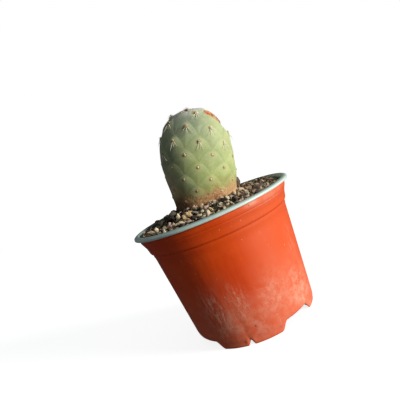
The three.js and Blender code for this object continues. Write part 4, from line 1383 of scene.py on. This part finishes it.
def make_stone_material(name, tones, pit_spacing):
    """Stones whose tone differs from one to the next, with pits and dust, browner on the right."""
    shader = new_material(name, Specular_IOR_Level=0.25)
    place = shader.place()
    tone = shader.attribute("tone")
    share = 1 / (len(tones) - 1)
    steps = [(shader.step(tone, (number + 0.2) * share, (number + 0.8) * share), following)
             for number, following in enumerate(tones[1:])]
    grain = shader.noise(place, 0.7, 5, 0.7)
    hollow = specks(shader, place, pit_spacing, 0.5)
    body = shader.paint(
        colour(*tones[0]), *steps, (shader.step(grain, 0.35, 0.7, 0, 0.35), (62, 52, 44)),
        (shader.step(shader.parts(place)["X"], 2, 26, 0, 0.25), (158, 134, 114)),
        (shader.times(hollow, 0.45), (44, 36, 30)))
    normal = shader.bumps((grain, 0.25), (shader.math("SUBTRACT", 1.0, hollow), 0.15))
    return shader.finish(body, shader.plus(0.82, shader.times(grain, 0.15)), normal)


# The object

make_pot([make_pot_plastic(), make_lining_plastic()])
make_skin(make_skin_material())
areoles = find_areoles()
make_spines(areoles, make_spine_material())
make_cushions(areoles, make_cushion_material())
make_glochids(areoles, make_glochid_material())
make_scar(make_scar_material())

large_stone = make_stone_material("large_stone", [
    (52, 46, 40), (92, 88, 76), (142, 134, 118), (150, 124, 96), (206, 178, 158), (238, 220, 184),
    (230, 198, 148)], 0.9)
pumice = make_stone_material("pumice", [
    (142, 124, 102), (204, 180, 146), (234, 216, 184), (204, 168, 142)], 0.8)
lava = make_stone_material("lava", [(46, 43, 38), (66, 60, 53), (92, 82, 70), (122, 102, 84)], 0.7)
# The fine grit and the bed under it are dark partly in their own colour and partly as painted shade in the
# gaps between the stones.
grit = make_stone_material("fine_grit", [(54, 47, 39), (86, 75, 61), (124, 109, 89), (176, 158, 132)], 0.5)
make_bed(make_stone_material("bed_grit", [(40, 34, 28), (54, 45, 37), (70, 57, 46)], 0.9))

random = np.random.default_rng(SEED)
pebble_shapes, pebble_faces = make_chips(random, divisions=3, count=14, roundness=0.62)
pumice_shapes, pumice_faces = make_chips(random, divisions=2, count=16, roundness=0.5)
chip_shapes, chip_faces = make_chips(random, divisions=1, count=14, roundness=0.5)
grit_shapes, grit_faces = make_chips(random, divisions=0, count=8, roundness=0.6)
large_stones = [front_stone(*seen) for seen in FRONT_STONES] + BACK_STONES
placed = [(x, y, 0.5 * (length + thickness)) for x, y, length, thickness, _, _ in large_stones]
middle_pumice = scatter(random, 75, (1.2, 2.1), bias=1.4, taken=placed, gap=0.9, chance=pumice_chance)
placed += middle_pumice
small_pumice = scatter(random, 300, (0.6, 1.4), bias=1.2, taken=placed, gap=0.66, chance=pumice_chance)
dark_chips = scatter(random, 900, (0.6, 2.3), bias=1.4, taken=placed, gap=0.55)
crumbs = scatter(random, 3400, (0.22, 0.75), bias=1.8)
make_large_stones(large_stones, large_stone, pebble_shapes, pebble_faces)
make_stones("pumice_stones", middle_pumice + small_pumice, (-0.3, 0.7), pumice_shapes, pumice_faces, pumice,
            random, sharp=32)
make_stones("lava_chips", dark_chips, (0.3, 1.5), chip_shapes, chip_faces, lava, random, tilt=40)
make_stones("fine_grit", crumbs, (1.4, 3.8), grit_shapes, grit_faces, grit, random, tilt=60)
make_dark_stone(pumice_shapes, pumice_faces, lava)


# Stage: a plain pale floor, white surroundings and soft light from the right

def turned_object(name, data, axes, place=(0, 0, 0)):
    """An object for a lamp or a camera, whose own x, y and z lie along three axes."""
    added = bpy.data.objects.new(name, data)
    bpy.context.scene.collection.objects.link(added)
    added.matrix_world = Matrix([*np.column_stack([*axes, place]).tolist(), (0, 0, 0, 1)])
    return added


def make_floor():
    half = 6000 * METRE
    mesh = bpy.data.meshes.new("floor")
    corners = [(-half, -half, 0), (half, -half, 0), (half, half, 0), (-half, half, 0)]
    mesh.from_pydata(corners, [], [(0, 1, 2, 3)])
    floor = bpy.data.objects.new("floor", mesh)
    bpy.context.scene.collection.objects.link(floor)
    # The camera sees it bright, and it throws little light on the pot.
    shader = new_material("floor_paper", Specular_IOR_Level=0, Emission_Color=(1, 1, 1, 1))
    seen = shader.add("ShaderNodeLightPath").outputs["Is Camera Ray"]
    shader.fill(shader.surface.inputs["Emission Strength"], shader.step(seen, 0, 1, 0, 0.84))
    mesh.materials.append(shader.finish(shader.mix(seen, (0.26, 0.26, 0.26, 1), (0.7, 0.7, 0.7, 1)), 0.9))


def make_world():
    world = bpy.data.worlds.new("surroundings")
    bpy.context.scene.world = world
    world.use_nodes = True
    shader = Shader(world.node_tree)
    background = world.node_tree.nodes["Background"]
    seen = shader.add("ShaderNodeLightPath").outputs["Is Camera Ray"]
    shader.fill(background.inputs["Color"], shader.mix(seen, (0.92, 0.96, 1, 1), (1, 1, 1, 1)))
    shader.fill(background.inputs["Strength"], shader.step(seen, 0, 1, 0.18, 1))


def add_sun(name, toward, strength, softness, tint):
    """A light from a direction, with shadows as soft as a lamp that many degrees across gives."""
    data = bpy.data.lights.new(name, "SUN")
    data.angle = math.radians(softness)
    data.energy = strength
    data.color = tint
    back = unit(np.array(toward, float))
    side = unit(np.cross([0, 0, 1], back))
    turned_object(name, data, (side, np.cross(back, side), back))


def make_camera():
    data = bpy.data.cameras.new("camera")
    data.lens = CAMERA["lens"]
    data.sensor_width = CAMERA["sensor"]
    data.clip_start = 10 * METRE
    data.clip_end = 20000 * METRE
    place = np.array(CAMERA["place"]) * METRE
    bpy.context.scene.camera = turned_object("camera", data, CAMERA_AXES, place)


make_floor()
make_world()
add_sun("key", toward=(0.83, -0.54, 0.13), strength=4.15, softness=18, tint=(1, 0.97, 0.91))
make_camera()
bpy.context.scene.view_settings.view_transform = "Standard"
